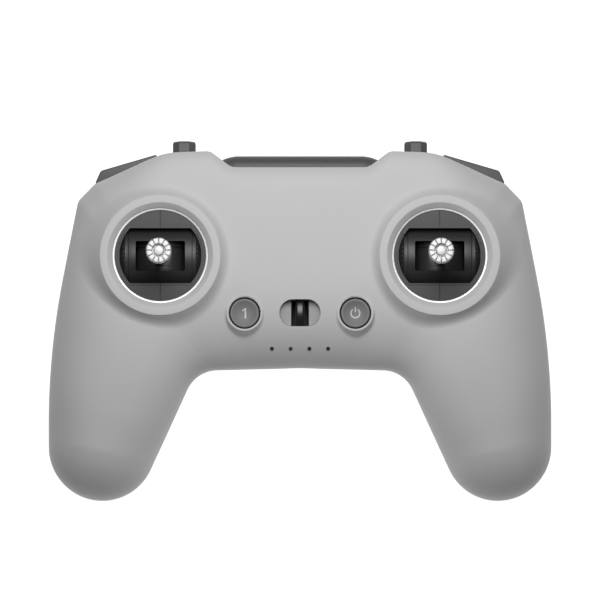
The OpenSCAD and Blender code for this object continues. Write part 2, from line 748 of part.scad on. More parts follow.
module gimbal_frame() {
  color("#2e2f30") difference() {
    union() {
      difference() {
        translate([0, 0, flange_low]) cylinder(r = flange_r, h = flange_t);
        translate([0, 0, flange_low - over]) cylinder(r = frame_in - frame_lip, h = flange_t + 2 * over);
      }
      for (s = [-1, 1])
        block([frame_t, frame_side, frame_top - frame_floor],
          [s * (frame_in + frame_t / 2), 0, (frame_top + frame_floor) / 2]);
      block([2 * frame_out, floor_l, floor_t], [0, 0, frame_floor + floor_t / 2]);
    }
    on_x(trunnion_r + run_fit, 2 * frame_out + over);
    gimbal_screw_places(flange_low - over)
      cylinder(r = gimbal_screw_r + screw_play, h = flange_t + 2 * over);
  }
}
module left_gimbal_frame() {
  at_gimbal(-1) gimbal_frame();
}
module right_gimbal_frame() {
  at_gimbal(1) gimbal_frame();
}

module pitch_drum() {
  half = [[drum_r, drum_band], [drum_low_r, drum_band],
    each [for (i = [0:drum_arcs])
      polar([0, 0], drum_ball, drum_turn + (drum_stop - drum_turn) * i / drum_arcs)],
    [drum_end_r, drum_half], [drum_end_r, drum_end], [trunnion_r, drum_end],
    [trunnion_r, frame_out - trunnion_end], [0, frame_out - trunnion_end]];
  color("#3a3b3c") difference() {
    rotate([0, 90, 0]) rotate_extrude() polygon([
      each [for (i = [len(half) - 1:-1:0]) [half[i].x, -half[i].y]], each half]);
    on_x(drum_r - drum_skin, 2 * drum_hollow);
    block([3 * drum_half, 3 * drum_r, drum_r], [0, 0, -drum_skirt - drum_r / 2]);
    block([slot_w, slot_h, 2 * drum_r], [0, 0, drum_r]);
    on_y(pin_r + run_fit, 3 * drum_r);
  }
}
module left_pitch_drum() {
  at_gimbal(-1) pitch_drum();
}
module right_pitch_drum() {
  at_gimbal(1) pitch_drum();
}

// The rocker tips sideways inside the drum and carries the stick
rocker_play = 1.6;
rocker_r = drum_r - drum_skin - rocker_play;
rocker_lap = 0.15;
rocker_half = slot_h / 2 + rocker_lap;
rocker_skin = 1.4;
rocker_skirt = 2.5;
hub_r = 3.2;
socket_wall = 1.2;
socket_r = shaft_r + socket_wall;
shaft_foot = 3;
module roll_rocker() {
  color("#26272a") difference() {
    union() {
      difference() {
        on_y(rocker_r, 2 * rocker_half);
        on_y(rocker_r - rocker_skin, 2 * rocker_half + over);
        block([3 * rocker_r, 3 * rocker_half, rocker_r], [0, 0, -rocker_skirt - rocker_r / 2]);
      }
      on_y(hub_r, 2 * rocker_half);
      cylinder(r = socket_r, h = rocker_r - rocker_skin / 2);
    }
    on_y(pin_r, 3 * rocker_half);
    translate([0, 0, shaft_foot]) cylinder(r = shaft_r + seat, h = drum_r);
  }
}
module left_roll_rocker() {
  at_gimbal(-1) roll_rocker();
}
module right_roll_rocker() {
  at_gimbal(1) roll_rocker();
}

pin_short = 0.2;
module rocker_pin() {
  color("#b9bcc0") on_y(pin_r - seat, 2 * (drum_r - pin_short));
}
module left_rocker_pin() {
  at_gimbal(-1) rocker_pin();
}
module right_rocker_pin() {
  at_gimbal(1) rocker_pin();
}

crown_len = 11.8;
crown_low = stick_len - crown_len;
nub_r = 1.7;
nub_sink = 0.4;
nub_edge = 0.5;
module stick_shaft() {
  color("#b9bcc0") rotate_extrude() polygon([
    [0, shaft_foot + seat], [shaft_r, shaft_foot + seat], [shaft_r, crown_low - seat],
    [nub_r, crown_low - seat], [nub_r, stick_len - nub_sink - nub_edge],
    [nub_r - nub_edge, stick_len - nub_sink], [0, stick_len - nub_sink]]);
}
module left_stick_shaft() {
  at_gimbal(-1) stick_shaft();
}
module right_stick_shaft() {
  at_gimbal(1) stick_shaft();
}

// Crown: a sleeve that flares into a head with petals and a hollow top
sleeve_wall = 0.7;
crown_edge = 0.3;
flare_start = 6.2;
flare_end = 2.8;
flare_low = stick_len - flare_start;
flare_top = stick_len - flare_end;
head_edge = 0.8;
cup_deep = 1.1;
cup_w = 1.2;
notch_r = 0.7;
notch_low = stick_len - 4;
notch_deep = 1.1;
module stick_crown() {
  neck_r = shaft_r + sleeve_wall;
  color("#e4e5e6") difference() {
    rotate_extrude() polygon([
      [nub_r + seat, crown_low], [neck_r - crown_edge, crown_low], [neck_r, crown_low + crown_edge],
      [neck_r, flare_low], [head_r, flare_top], [head_r, stick_len - head_edge],
      [head_r - nub_edge, stick_len], [nub_r + cup_w, stick_len],
      [nub_r + nub_edge, stick_len - cup_deep], [nub_r + seat, stick_len - cup_deep]]);
    for (i = [0:petals - 1]) rotate(i * 360 / petals) {
      translate([head_r + screw_play, 0, notch_low])
        cylinder(r = notch_r, h = stick_len - notch_low + over);
      block([head_r, notch_r, 2 * notch_deep], [nub_r + nub_edge + head_r / 2, 0, stick_len]);
    }
  }
}
module left_stick_crown() {
  at_gimbal(-1) stick_crown();
}
module right_stick_crown() {
  at_gimbal(1) stick_crown();
}

magnet_r = 1.8;
magnet_low = -5.2;
module magnet() {
  color("#8d9094") difference() {
    translate([0, 0, magnet_low]) cylinder(r = magnet_r, h = -magnet_low - hub_r / 2);
    on_y(hub_r + seat, 3 * rocker_half);
  }
}
module left_magnet() {
  at_gimbal(-1) magnet();
}
module right_magnet() {
  at_gimbal(1) magnet();
}

sensor_size = [16, 12, 1.2];
chip_size = [4, 4, 1.5];
module sensor_boards() {
  color("#1f5a3c") for (s = [-1, 1]) at_gimbal(s) translate([0, 0, frame_floor + floor_t + seat]) {
    block(sensor_size, [0, 0, sensor_size.z / 2]);
    block(chip_size, [0, 0, sensor_size.z + chip_size.z / 2 - eps]);
  }
}

module gimbal_screws() {
  color("#9fa2a6") for (s = [-1, 1]) at_gimbal(s) gimbal_screw_places(flange_low - seat) {
    translate([0, 0, -gimbal_head_h]) cylinder(r = gimbal_head_r, h = gimbal_head_h);
    translate([0, 0, -eps]) cylinder(r = gimbal_screw_r - seat,
      h = flange_t + cover_t + gimbal_bite - screw_tip);
  }
}

// Face buttons ride on a long stem above their switches
cap_rise = 0.25;
cap_top = button_z + cap_rise;
cap_lip = 0.8;
lip_t = 1;
cap_under = 1.2;
cap_low = face_at(button_y - button_r - cap_lip) - wall - cap_under;
stem_r = 1.8;
tact_size = [6, 6, 3];
tact_r = 1.6;
tact_rise = 4.4;
tact_play = 0.15;
stem_low = board_top + tact_rise;
dish_r = 14;
dish_deep = 0.55;
module button_cap() {
  color("#808284") difference() {
    union() {
      translate([0, 0, cap_low - lip_t]) cylinder(r = button_r + cap_lip, h = lip_t);
      translate([0, 0, cap_low - eps]) cylinder(r = button_r, h = cap_top - cap_low + eps);
      translate([0, 0, stem_low]) cylinder(r = stem_r, h = cap_low - stem_low);
    }
    translate([0, 0, cap_top + dish_r - dish_deep]) sphere(r = dish_r);
  }
}
module custom_button() {
  translate([-button_x, button_y, 0]) button_cap();
}
module power_button() {
  translate([button_x, button_y, 0]) button_cap();
}
module tact_switches() {
  color("#2a2b2c") button_places(board_top + seat) {
    block(tact_size, [0, 0, tact_size.z / 2]);
    cylinder(r = tact_r, h = tact_rise - button_travel - tact_play);
  }
}

led_size = [1.6, 0.8, 0.7];
pipe_play = 0.2;
pipe_sink = 0.25;
pipe_low = board_top + led_size.z + pipe_play;
pipe_top = face_at(lamp_y) - pipe_sink;
tie_past = 2;
tie_lift = 3;
tie_size = [3 * lamp_pitch + tie_past, 1.4, 1.2];
tie_z = board_top + tie_lift;
module light_pipe() {
  color("#55585c") {
    lamp_places(pipe_low) cylinder(r = lamp_r - seat, h = pipe_top - pipe_low);
    block(tie_size, [0, lamp_y, tie_z]);
  }
}
module status_leds() {
  color("#e9e6d2") lamp_places(board_top + seat) block(led_size, [0, 0, led_size.z / 2]);
}
module lanyard_bar() {
  color("#2b2c2d") bar_arch(bar_r, recess_h / 2 + bar_end - seat);
}

toggle_tip = shoulder_y + toggle_rise - toggle_y;
stud_d = 6.6;
stud_cut = 2.1;
module toggle() {
  w = toggle_w / 2;
  d = stud_d / 2;
  c = stud_cut;
  color("#4b4d4f") translate([toggle_x, toggle_y, control_z]) difference() {
    union() {
      on_x(toggle_barrel_r, toggle_w);
      rotate([-90, 0, 0]) linear_extrude(toggle_tip) polygon([
        [-w, -d + c], [-w + c, -d], [w - c, -d], [w, -d + c],
        [w, d - c], [w - c, d], [-w + c, d], [-w, d - c]]);
    }
    on_x(toggle_pin_r + run_fit, 2 * toggle_w);
  }
}
module left_toggle() {
  mirror([1, 0, 0]) toggle();
}
module right_toggle() {
  toggle();
}
module toggle_pins() {
  color("#a8abaf") both() translate([toggle_x, toggle_y, control_z])
    on_x(toggle_pin_r - seat, 2 * (cheek_in + cheek_t));
}
module toggle_switches() {
  color("#1f2021") both() block([2 * (cheek_in - seat), switch_h, switch_deep],
    [toggle_x, switch_top - switch_h / 2, control_z]);
}

bumper_roof = 1;
module bumper() {
  color("#56585a") difference() {
    translate([0, 0, bumper_low]) linear_extrude(bumper_h) polygon(bumper_corners);
    translate([bumper_pivot.x, bumper_pivot.y, bumper_low - over])
      cylinder(r = bumper_pin_r + run_fit, h = bumper_h - bumper_roof + over);
  }
}
module left_bumper() {
  mirror([1, 0, 0]) bumper();
}
module right_bumper() {
  bumper();
}
module bumper_pins() {
  color("#a8abaf") both() translate([bumper_pivot.x, bumper_pivot.y, bumper_low - gap - bumper_pin_deep])
    cylinder(r = bumper_pin_r - seat, h = bumper_pin_deep + bumper_h - bumper_roof);
}
module bumper_switches() {
  color("#1f2021") both()
    block(click_size, [post_spot.x, post_spot.y, post_top + click_size.z / 2 + seat]);
}

knurls = 24;
knurl_r = 0.45;
module tilt_dial() {
  color("#3d3f41") translate(dial_at) difference() {
    on_x(dial_r, dial_w);
    on_x(dial_pin_r + run_fit, 2 * dial_w);
    for (i = [0:knurls - 1]) rotate([i * 360 / knurls, 0, 0])
      translate([0, 0, dial_r + knurl_r / 4]) on_x(knurl_r, 2 * dial_w);
  }
}
module dial_axle() {
  color("#a8abaf") translate(dial_at) on_x(dial_pin_r - seat, 2 * dial_pin_half);
}

// Flap: a plate along the back that bends up to its hinge barrel
flap_t = back_z - gap;
flap_foot = hinge_y - flap_len;
lip_in = 0.7;
lip_down = 1.5;
neck_down = 3.4;
toe_up = 0.8;
flap_play = 0.6;
flap_half = saddle_half - flap_play;
flap_corner = 5;
flap_bend = 8;
bend_y = hinge_y - flap_bend + 1;
foot_edge = 1.5;
barrel_flat = 18;
barrel_end_r = 2.4;
barrel_swell = 0.5;
flap_bore = 4;
module flap_profile() {
  polygon([[flap_foot, 0],
    each [for (a = [-90:16:-10]) polar([bend_y, flap_bend], flap_bend, a)],
    [hinge_y + flap_barrel_r - lip_in, hinge_z - lip_down], [hinge_y, hinge_z],
    [hinge_y - flap_barrel_r, hinge_z - neck_down], [bend_y, flap_t + toe_up],
    [bend_y - flap_bend / 2, flap_t],
    [flap_foot + foot_edge, flap_t], [flap_foot, flap_t - foot_edge]]);
}
module flap_outline() {
  c = flap_half - flap_corner;
  polygon([[-flap_half, hinge_y + flap_barrel_r],
    each [for (a = [180:15:270]) polar([-c, flap_foot + flap_corner], flap_corner, a)],
    each [for (a = [270:15:360]) polar([c, flap_foot + flap_corner], flap_corner, a)],
    [flap_half, hinge_y + flap_barrel_r]]);
}
module antenna_flap() {
  h = flap_w / 2;
  shoulder = (h + barrel_flat) / 2;
  color("#46484a") difference() {
    union() {
      translate([0, hinge_y, hinge_z]) rotate([0, 90, 0]) rotate_extrude() polygon([
        [0, -h], [barrel_end_r, -h], [flap_barrel_r - barrel_swell, -shoulder],
        [flap_barrel_r, -barrel_flat], [flap_barrel_r, barrel_flat],
        [flap_barrel_r - barrel_swell, shoulder], [barrel_end_r, h], [0, h]]);
      intersection() {
        rotate([90, 0, 90]) linear_extrude(flap_w, center = true) flap_profile();
        translate([0, 0, -over]) linear_extrude(hinge_z + 2 * over) flap_outline();
      }
    }
    for (s = [-1, 1]) translate([s * h, hinge_y, hinge_z]) on_x(flap_pin_r + run_fit, 2 * flap_bore);
  }
}
module flap_pins() {
  length = ear_t + gap + flap_bore - screw_tip;
  color("#a8abaf") both() translate([ear_in + ear_t - length / 2, hinge_y, hinge_z])
    on_x(flap_pin_r - seat, length);
}

module main_board() {
  color("#1f5a3c") difference() {
    translate([-board_half, board_low, board_z + seat])
      cube([2 * board_half, board_high - board_low, board_t - seat]);
    board_places() translate([0, 0, board_z - over])
      cylinder(r = board_screw_r + screw_play, h = board_t + 2 * over);
  }
}
module board_screws() {
  color("#9fa2a6") board_places() {
    translate([0, 0, board_z - board_bite])
      cylinder(r = board_screw_r - seat, h = board_bite + board_t + board_head_h / 2);
    translate([0, 0, board_top + seat]) cylinder(r = board_head_r, h = board_head_h);
  }
}
module battery_pack() {
  color("#3f6ea8") block(battery_size, [0, battery_y, battery_low + battery_size.z / 2]);
}
buzzer_r = 5;
buzzer_h = 3;
buzzer_up = 9;
module buzzer() {
  color("#1c1d1e") translate([0, gimbal_y + buzzer_up, board_top + seat])
    cylinder(r = buzzer_r, h = buzzer_h);
}

port_back = 0.6;
tongue_size = [6.7, 5.9, 0.7];
module usb_shell() {
  color("#c3c6c9") translate([0, port_mouth, port_z]) rotate([-90, 0, 0]) difference() {
    linear_extrude(port_len) stadium(port_w, port_h);
    translate([0, 0, -over]) linear_extrude(port_len + over - port_back)
      stadium(port_w - 2 * port_skin, port_h - 2 * port_skin);
  }
}
module usb_tongue() {
  color("#1c1d1e")
    block(tongue_size, [0, port_mouth + port_len - port_back - tongue_size.y / 2, port_z]);
}
module stick_sleeves() {
  color("#2e2f30") both() translate([store_x, store_mouth, store_z]) rotate([-90, 0, 0]) difference() {
    cylinder(r = sleeve_r, h = store_len + sleeve_end);
    translate([0, 0, -over]) cylinder(r = store_r, h = store_len + over);
  }
}
module shell_screws() {
  color("#9fa2a6") boss_places() {
    head_z = $back + sink_deep - shell_head_h - seat;
    translate([0, 0, head_z]) cylinder(r = shell_head_r, h = shell_head_h);
    translate([0, 0, head_z + shell_head_h / 2])
      cylinder(r = shell_screw_r - seat, h = $seam + shell_bite - head_z - shell_head_h / 2);
  }
}

front_shell();
rear_shell();
left_trim_ring();
right_trim_ring();
left_gimbal_cover();
right_gimbal_cover();
left_gimbal_frame();
right_gimbal_frame();
left_pitch_drum();
right_pitch_drum();
left_roll_rocker();
right_roll_rocker();
left_rocker_pin();
right_rocker_pin();
left_stick_shaft();
right_stick_shaft();
left_stick_crown();
right_stick_crown();
left_magnet();
right_magnet();
sensor_boards();
gimbal_screws();
custom_button();
power_button();
tact_switches();
light_pipe();
status_leds();
lanyard_bar();
left_toggle();
right_toggle();
toggle_pins();
toggle_switches();
left_bumper();
right_bumper();
bumper_pins();
bumper_switches();
tilt_dial();
dial_axle();
antenna_flap();
flap_pins();
main_board();
board_screws();
battery_pack();
buzzer();
usb_shell();
usb_tongue();
stick_sleeves();
shell_screws();
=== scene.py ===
# %% [markdown]
# A hand-held radio transmitter with two stick gimbals, dressed for a studio picture.
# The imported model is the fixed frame: it says where each piece sits and which body it rides on.
# Lengths below are in millimetres, as on a drawing, and a piece is turned into metres when it is finished.

# %% Load the frame
import bisect
import json
import math
import bmesh
import bpy
from mathutils import Matrix, Vector


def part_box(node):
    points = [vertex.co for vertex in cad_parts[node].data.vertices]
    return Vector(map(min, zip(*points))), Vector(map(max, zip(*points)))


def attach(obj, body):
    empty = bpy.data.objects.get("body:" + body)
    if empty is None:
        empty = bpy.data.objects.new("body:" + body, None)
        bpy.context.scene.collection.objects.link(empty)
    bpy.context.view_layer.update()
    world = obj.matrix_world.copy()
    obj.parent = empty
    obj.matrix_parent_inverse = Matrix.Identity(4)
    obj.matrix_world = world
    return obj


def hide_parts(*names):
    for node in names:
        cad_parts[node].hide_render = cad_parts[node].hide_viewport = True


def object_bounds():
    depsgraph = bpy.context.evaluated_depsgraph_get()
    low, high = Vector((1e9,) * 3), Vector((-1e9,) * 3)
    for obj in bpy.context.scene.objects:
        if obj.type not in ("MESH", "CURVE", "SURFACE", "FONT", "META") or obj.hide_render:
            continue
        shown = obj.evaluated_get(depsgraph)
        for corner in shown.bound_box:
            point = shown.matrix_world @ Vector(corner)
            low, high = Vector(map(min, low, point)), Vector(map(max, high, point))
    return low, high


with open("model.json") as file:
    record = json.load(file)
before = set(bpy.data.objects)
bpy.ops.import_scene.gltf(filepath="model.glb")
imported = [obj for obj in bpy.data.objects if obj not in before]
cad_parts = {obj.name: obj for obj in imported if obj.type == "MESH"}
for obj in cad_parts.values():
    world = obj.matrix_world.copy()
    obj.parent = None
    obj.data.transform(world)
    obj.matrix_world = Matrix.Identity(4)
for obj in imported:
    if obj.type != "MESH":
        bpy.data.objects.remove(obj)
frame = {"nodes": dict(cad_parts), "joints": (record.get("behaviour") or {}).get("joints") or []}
cad_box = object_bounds()
scene = bpy.context.scene
MM = 0.001
SIDES = {"left": -1, "right": 1}
pivots = {joint["name"]: Vector(joint["pos_m"]) / MM for joint in frame["joints"] if "pos_m" in joint}


def node_box(name):
    """Lowest and highest corner of a node of the frame, in millimetres."""
    low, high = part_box(name)
    return low / MM, high / MM


print("frame box, mm:", [[round(c / MM, 1) for c in corner] for corner in cad_box])

# %% [markdown]
# The picture is taken from almost straight above, with the camera leaning a few degrees towards the grips.
# A long lens from 1.6 m keeps the outline nearly free of perspective. An orthographic camera would do, but a
# lens also shows a little of the rings' inner walls, as the photograph does.

# %% Camera
PHOTO_WIDE = 600
PIXEL = 0.3283
LEAN = math.radians(4.6)
CAMERA_AWAY = 1600
AIM = Vector((0, 6.35, 25))
lens = bpy.data.cameras.new("studio_camera")
lens.lens = lens.sensor_width * CAMERA_AWAY / (PHOTO_WIDE * PIXEL)
camera = bpy.data.objects.new("studio_camera", lens)
scene.collection.objects.link(camera)
camera.location = (AIM + Vector((0, -math.sin(LEAN), math.cos(LEAN))) * CAMERA_AWAY) * MM
camera.rotation_euler = (LEAN, 0, 0)
scene.camera = camera
print("lens, mm:", round(lens.lens, 1))

# %% [markdown]
# Every finish below is a small tree of nodes. One function turns a colour as a painter names it (sRGB hex)
# into the linear numbers that light is reckoned in, one adds a node with its settings and links, and one
# starts a material with its shader and the piece's own coordinates.

# %% Material helpers


def linear(code):
    """Linear RGBA of an sRGB hex colour."""
    channels = [int(code[i:i + 2], 16) / 255 for i in (1, 3, 5)]
    return [c / 12.92 if c <= 0.04045 else ((c + 0.055) / 1.055) ** 2.4 for c in channels] + [1.0]


def add(tree, kind, settings=None, links=None):
    """Adds a node, sets its sockets or properties, and links its inputs."""
    node = tree.nodes.new(kind)
    for name, value in (settings or {}).items():
        if name in node.inputs:
            node.inputs[name].default_value = value
        else:
            setattr(node, name, value)
    for name, source in (links or {}).items():
        tree.links.new(source, node.inputs[name])
    return node


def start_material(name, **sockets):
    """A new material: its node tree, its shader and the Object coordinates."""
    material = bpy.data.materials.new(name)
    material.use_nodes = True
    tree = material.node_tree
    skin = tree.nodes["Principled BSDF"]
    for socket, value in sockets.items():
        skin.inputs[socket.replace("_", " ")].default_value = value
    return material, tree, skin, add(tree, "ShaderNodeTexCoord").outputs["Object"]


# %% [markdown]
# Most of the object is moulded plastic. A spark-eroded mould leaves a fine even grain, so the surface is
# matte with soft highlights. Two close tones in wide clouds stand for the slight unevenness of the melt,
# and a fine noise gives the grain its bump and varies the roughness with it.

# %% Moulded plastics


def cloud(tree, skin, place, tone, other_tone, wide, detail):
    """Lets the colour drift between two tones in clouds of a width in millimetres."""
    clouds = add(tree, "ShaderNodeTexNoise", {"Scale": 1 / (wide * MM), "Detail": detail}, {"Vector": place})
    tones = add(tree, "ShaderNodeMixRGB", {"Color1": linear(tone), "Color2": linear(other_tone)},
                {"Fac": clouds.outputs["Fac"]})
    tree.links.new(tones.outputs["Color"], skin.inputs["Base Color"])


def roughen(tree, skin, place, wide, depth, detail, strength, roughness, play):
    """Fine bumps, their width and depth in millimetres, with which the roughness plays."""
    noise = add(tree, "ShaderNodeTexNoise", {"Scale": 1 / (wide * MM), "Detail": detail}, {"Vector": place})
    sheen = add(tree, "ShaderNodeMapRange", {"To Min": roughness - play, "To Max": roughness + play},
                {"Value": noise.outputs["Fac"]})
    relief = add(tree, "ShaderNodeBump", {"Strength": strength, "Distance": depth * MM},
                 {"Height": noise.outputs["Fac"]})
    tree.links.new(sheen.outputs["Result"], skin.inputs["Roughness"])
    tree.links.new(relief.outputs["Normal"], skin.inputs["Normal"])


def moulded_plastic(name, tone, other_tone, grain, depth, roughness):
    """Plastic from an eroded mould: grain width and depth in millimetres."""
    material, *parts = start_material(name, IOR=1.49)
    cloud(*parts, tone, other_tone, 18, 2.0)
    roughen(*parts, grain, depth, 3.0, 0.5, roughness, 0.06)
    return material


PALE_ABS = moulded_plastic("eroded_mould_pale_abs", "#C6C6C6", "#C2C2C2", 0.45, 0.012, 0.62)
GRAPHITE_ABS = moulded_plastic("eroded_mould_graphite_abs", "#4C4C4C", "#484848", 0.4, 0.012, 0.5)
COVER_NYLON = moulded_plastic("moulded_grey_nylon", "#474747", "#434343", 0.3, 0.008, 0.6)
DRUM_ACETAL = moulded_plastic("moulded_slate_acetal", "#2C2C2C", "#282828", 0.3, 0.006, 0.45)
BLACK_ACETAL = moulded_plastic("moulded_black_acetal", "#1B1B1B", "#171717", 0.3, 0.004, 0.3)
KEY_RUBBER = moulded_plastic("moulded_grey_silicone", "#7C7C7C", "#777777", 0.35, 0.01, 0.6)
BOARD_RESIN = moulded_plastic("solder_masked_glass_epoxy", "#1F5A3C", "#1B5236", 0.6, 0.01, 0.35)
BATTERY_WRAP = moulded_plastic("shrunk_blue_pvc_film", "#3F6EA8", "#3A679E", 1.2, 0.02, 0.3)
print("plastics:", len(bpy.data.materials))

# %% [markdown]
# The metal parts are turned, drawn or plated, and those that show are blasted, so their shine is soft. A fine
# noise stands for the tool marks: it varies the roughness and gives a slight bump.

# %% Metals


def worked_metal(name, tone, scratch, depth, roughness):
    """Metal with fine tool marks: mark width and depth in millimetres."""
    material, *parts = start_material(name, Base_Color=linear(tone), Metallic=1.0)
    roughen(*parts, scratch, depth, 2.0, 0.3, roughness, 0.05)
    return material


RING_SILVER = worked_metal("blasted_silver_plate", "#E8E8E8", 0.15, 0.002, 0.58)
TURNED_ALUMINIUM = worked_metal("turned_blasted_aluminium", "#DEDEDE", 0.2, 0.002, 0.65)
DRAWN_STEEL = worked_metal("drawn_steel", "#C6C8CB", 0.3, 0.003, 0.3)
MAGNET_NICKEL = worked_metal("nickelled_magnet", "#9A9C9F", 0.4, 0.002, 0.25)
print("metals:", len(bpy.data.materials))

# %% [markdown]
# Pieces are built as bmesh objects and finished in one place: doubles are merged, lengths become metres,
# edges sharper than an angle stay crisp, and the piece is handed to its body, where it may replace a node.

# %% Finishing a piece


def face_out(bm):
    """Turns all faces outwards."""
    bmesh.ops.recalc_face_normals(bm, faces=bm.faces)


def mesh_object(bm, name):
    """An object of a bmesh, which is used up."""
    mesh = bpy.data.meshes.new(name)
    bm.to_mesh(mesh)
    bm.free()
    made = bpy.data.objects.new(name, mesh)
    scene.collection.objects.link(made)
    return made


def finish_piece(bm, name, material, body, node, sharp=32):
    """Makes a piece of a bmesh in millimetres and lets it ride on a body."""
    bmesh.ops.remove_doubles(bm, verts=bm.verts, dist=1e-4)
    bmesh.ops.scale(bm, vec=(MM, MM, MM), verts=bm.verts)
    piece = mesh_object(bm, name)
    piece.data.materials.append(material)
    piece.data.shade_smooth()
    piece.data.set_sharp_from_angle(angle=math.radians(sharp))
    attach(piece, body)
    if node:
        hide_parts(node)
    print(name, len(piece.data.polygons), "faces")


# %% [markdown]
# Holes and joined shapes are made with Blender's Boolean modifier on throw-away objects: the base is cut by
# or joined with each tool, and only the result is kept. The Manifold solver is fast and needs closed tools.

# %% Cutting and joining


def combine(bm, operation, tools):
    """Cuts or joins a bmesh with closed tools and gives the result."""
    base = mesh_object(bm, "scratch")
    helpers = [mesh_object(tool, "scratch") for tool in tools]
    for helper in helpers:
        step = base.modifiers.new("combine", "BOOLEAN")
        step.solver = "MANIFOLD"
        step.operation = operation
        step.object = helper
    result = bmesh.new()
    result.from_object(base, bpy.context.evaluated_depsgraph_get())
    for made in (base, *helpers):
        mesh = made.data
        bpy.data.objects.remove(made)
        bpy.data.meshes.remove(mesh)
    return result


# %% [markdown]
# Four plain shapes do for most tools and small parts: a rod, a slab, a prism over an outline and a profile
# spun round the Z axis. Each is set to its place by a turn and a move.

# %% Plain shapes
TO_AXIS = {"X": Matrix.Rotation(math.pi / 2, 4, "Y"), "Y": Matrix.Rotation(-math.pi / 2, 4, "X"),
           "Z": Matrix.Identity(4)}


def set_at(bm, at, axis="Z"):
    """Lays a shape's Z axis along another axis and moves it to a place."""
    bmesh.ops.transform(bm, matrix=Matrix.Translation(at) @ TO_AXIS[axis], verts=bm.verts)
    return bm


def rod(radius, length, at, axis="Z", steps=48):
    """A rod with its middle at a place."""
    bm = bmesh.new()
    bmesh.ops.create_cone(bm, cap_ends=True, segments=steps, radius1=radius, radius2=radius, depth=length)
    return set_at(bm, at, axis)


def bevel_edges(bm, edges, offset, steps):
    """Rounds the given edges."""
    bmesh.ops.bevel(bm, geom=edges, offset=offset, segments=steps, profile=0.5, affect="EDGES",
                    material=-1, clamp_overlap=True)


def slab(size, at, edge=0):
    """A block with its middle at a place and its edges rounded."""
    bm = bmesh.new()
    bmesh.ops.create_cube(bm, size=1)
    bmesh.ops.scale(bm, vec=size, verts=bm.verts)
    if edge:
        bevel_edges(bm, bm.edges[:], edge, 2)
    return set_at(bm, at)


def prism(outline, low, high):
    """A flat outline raised from one height to another."""
    bm = bmesh.new()
    foot = bm.faces.new([bm.verts.new((x, y, low)) for x, y in outline])
    lifted = bmesh.ops.extrude_face_region(bm, geom=[foot])["geom"]
    top = [part for part in lifted if isinstance(part, bmesh.types.BMVert)]
    bmesh.ops.translate(bm, vec=(0, 0, high - low), verts=top)
    face_out(bm)
    return bm


def turned(profile, at, axis="Z", steps=96):
    """A profile of radius and height spun round its axis."""
    bm = bmesh.new()
    verts = [bm.verts.new((r, 0, z)) for r, z in profile]
    edges = [bm.edges.new(pair) for pair in zip(verts, verts[1:] + verts[:1])]
    bmesh.ops.spin(bm, geom=verts + edges, cent=(0, 0, 0), axis=(0, 0, 1), angle=2 * math.pi,
                   steps=steps, use_merge=True)
    bmesh.ops.remove_doubles(bm, verts=bm.verts, dist=1e-4)
    bmesh.ops.delete(bm, geom=[edge for edge in bm.edges if edge.is_wire], context="EDGES")
    face_out(bm)
    return set_at(bm, at, axis)


# %% [markdown]
# Corners of outlines and profiles are rounded by arcs that touch both sides, as a drawing shows them.

# %% Rounded lines


def round_corner(before, corner, after, radius, steps):
    """Points of the arc that rounds a corner."""
    back, on = (before - corner).normalized(), (after - corner).normalized()
    half = back.angle(on) / 2
    centre = corner + (back + on).normalized() * radius / math.sin(half)
    first = corner + back * radius / math.tan(half) - centre
    last = corner + on * radius / math.tan(half) - centre
    sweep = first.angle(last)
    shares = [i / steps for i in range(steps + 1)]
    return [centre + (first * math.sin(sweep * (1 - s)) + last * math.sin(sweep * s)) / math.sin(sweep)
            for s in shares]


def rounded(points, radii, steps, closed=False):
    """A line with its corners rounded, a radius of 0 keeping a corner sharp."""
    points = [Vector(p) for p in points]
    ring = [points[-1], *points, points[0]] if closed else points
    line = [] if closed else [points[0]]
    for before, corner, after, radius in zip(ring, ring[1:], ring[2:], radii):
        line += round_corner(before, corner, after, radius, steps) if radius else [corner]
    return line if closed else [*line, points[-1]]


# %% [markdown]
# The housing is one smooth body with two grips, moulded in a front and a rear half. Its outline is drawn as
# an outer edge (saddle, shoulder, side and grip) and an inner edge (crotch and inside of the grip). It could
# be sculpted, but sections between the two edges give a fair surface that follows the frame.

# %% Outline of the housing
gimbal = pivots["right_stick_pitch"]
HALF_WIDE = cad_box[1].x / MM
SHOULDER_Y = gimbal.y + 34.8
SADDLE_Y = SHOULDER_Y - 5.1
CROTCH_Y = gimbal.y - 35.4
GRIP_END = 17.6
GRIP_LEAN = math.radians(25)
GRIP = Vector((HALF_WIDE - GRIP_END, gimbal.y - 78.6 + GRIP_END))
lean = Vector((math.sin(GRIP_LEAN), -math.cos(GRIP_LEAN)))
grip_inside = GRIP + GRIP_END * Vector((lean.y, -lean.x))
CROTCH_DIP = 0.9
crotch_x = grip_inside.x - lean.x / lean.y * (grip_inside.y - CROTCH_Y + CROTCH_DIP)


def grip_arc(start, stop, steps=24):
    """Points round the end of the grip between two angles."""
    turns = [start + (stop - start) * i / steps for i in range(1, steps + 1)]
    return [GRIP + GRIP_END * Vector((math.cos(turn), math.sin(turn))) for turn in turns]


tip_turn = -(math.pi - GRIP_LEAN) / 2
outer_line = rounded(
    [(0, SADDLE_Y), (22.4, SADDLE_Y), (29.4, SHOULDER_Y + 0.2), (44, SHOULDER_Y - 0.3),
     (67.4, SHOULDER_Y - 9.7), (73, SHOULDER_Y - 15.4), (HALF_WIDE, gimbal.y - 30.7), (HALF_WIDE, GRIP.y)],
    [3.5, 3, 22, 2.5, 3.5, 250], 16) + grip_arc(0, tip_turn)
inner_line = rounded([(0, CROTCH_Y), (crotch_x, CROTCH_Y - CROTCH_DIP), grip_inside], [11], 24)
inner_line += grip_arc(math.pi + GRIP_LEAN, 2 * math.pi + tip_turn)


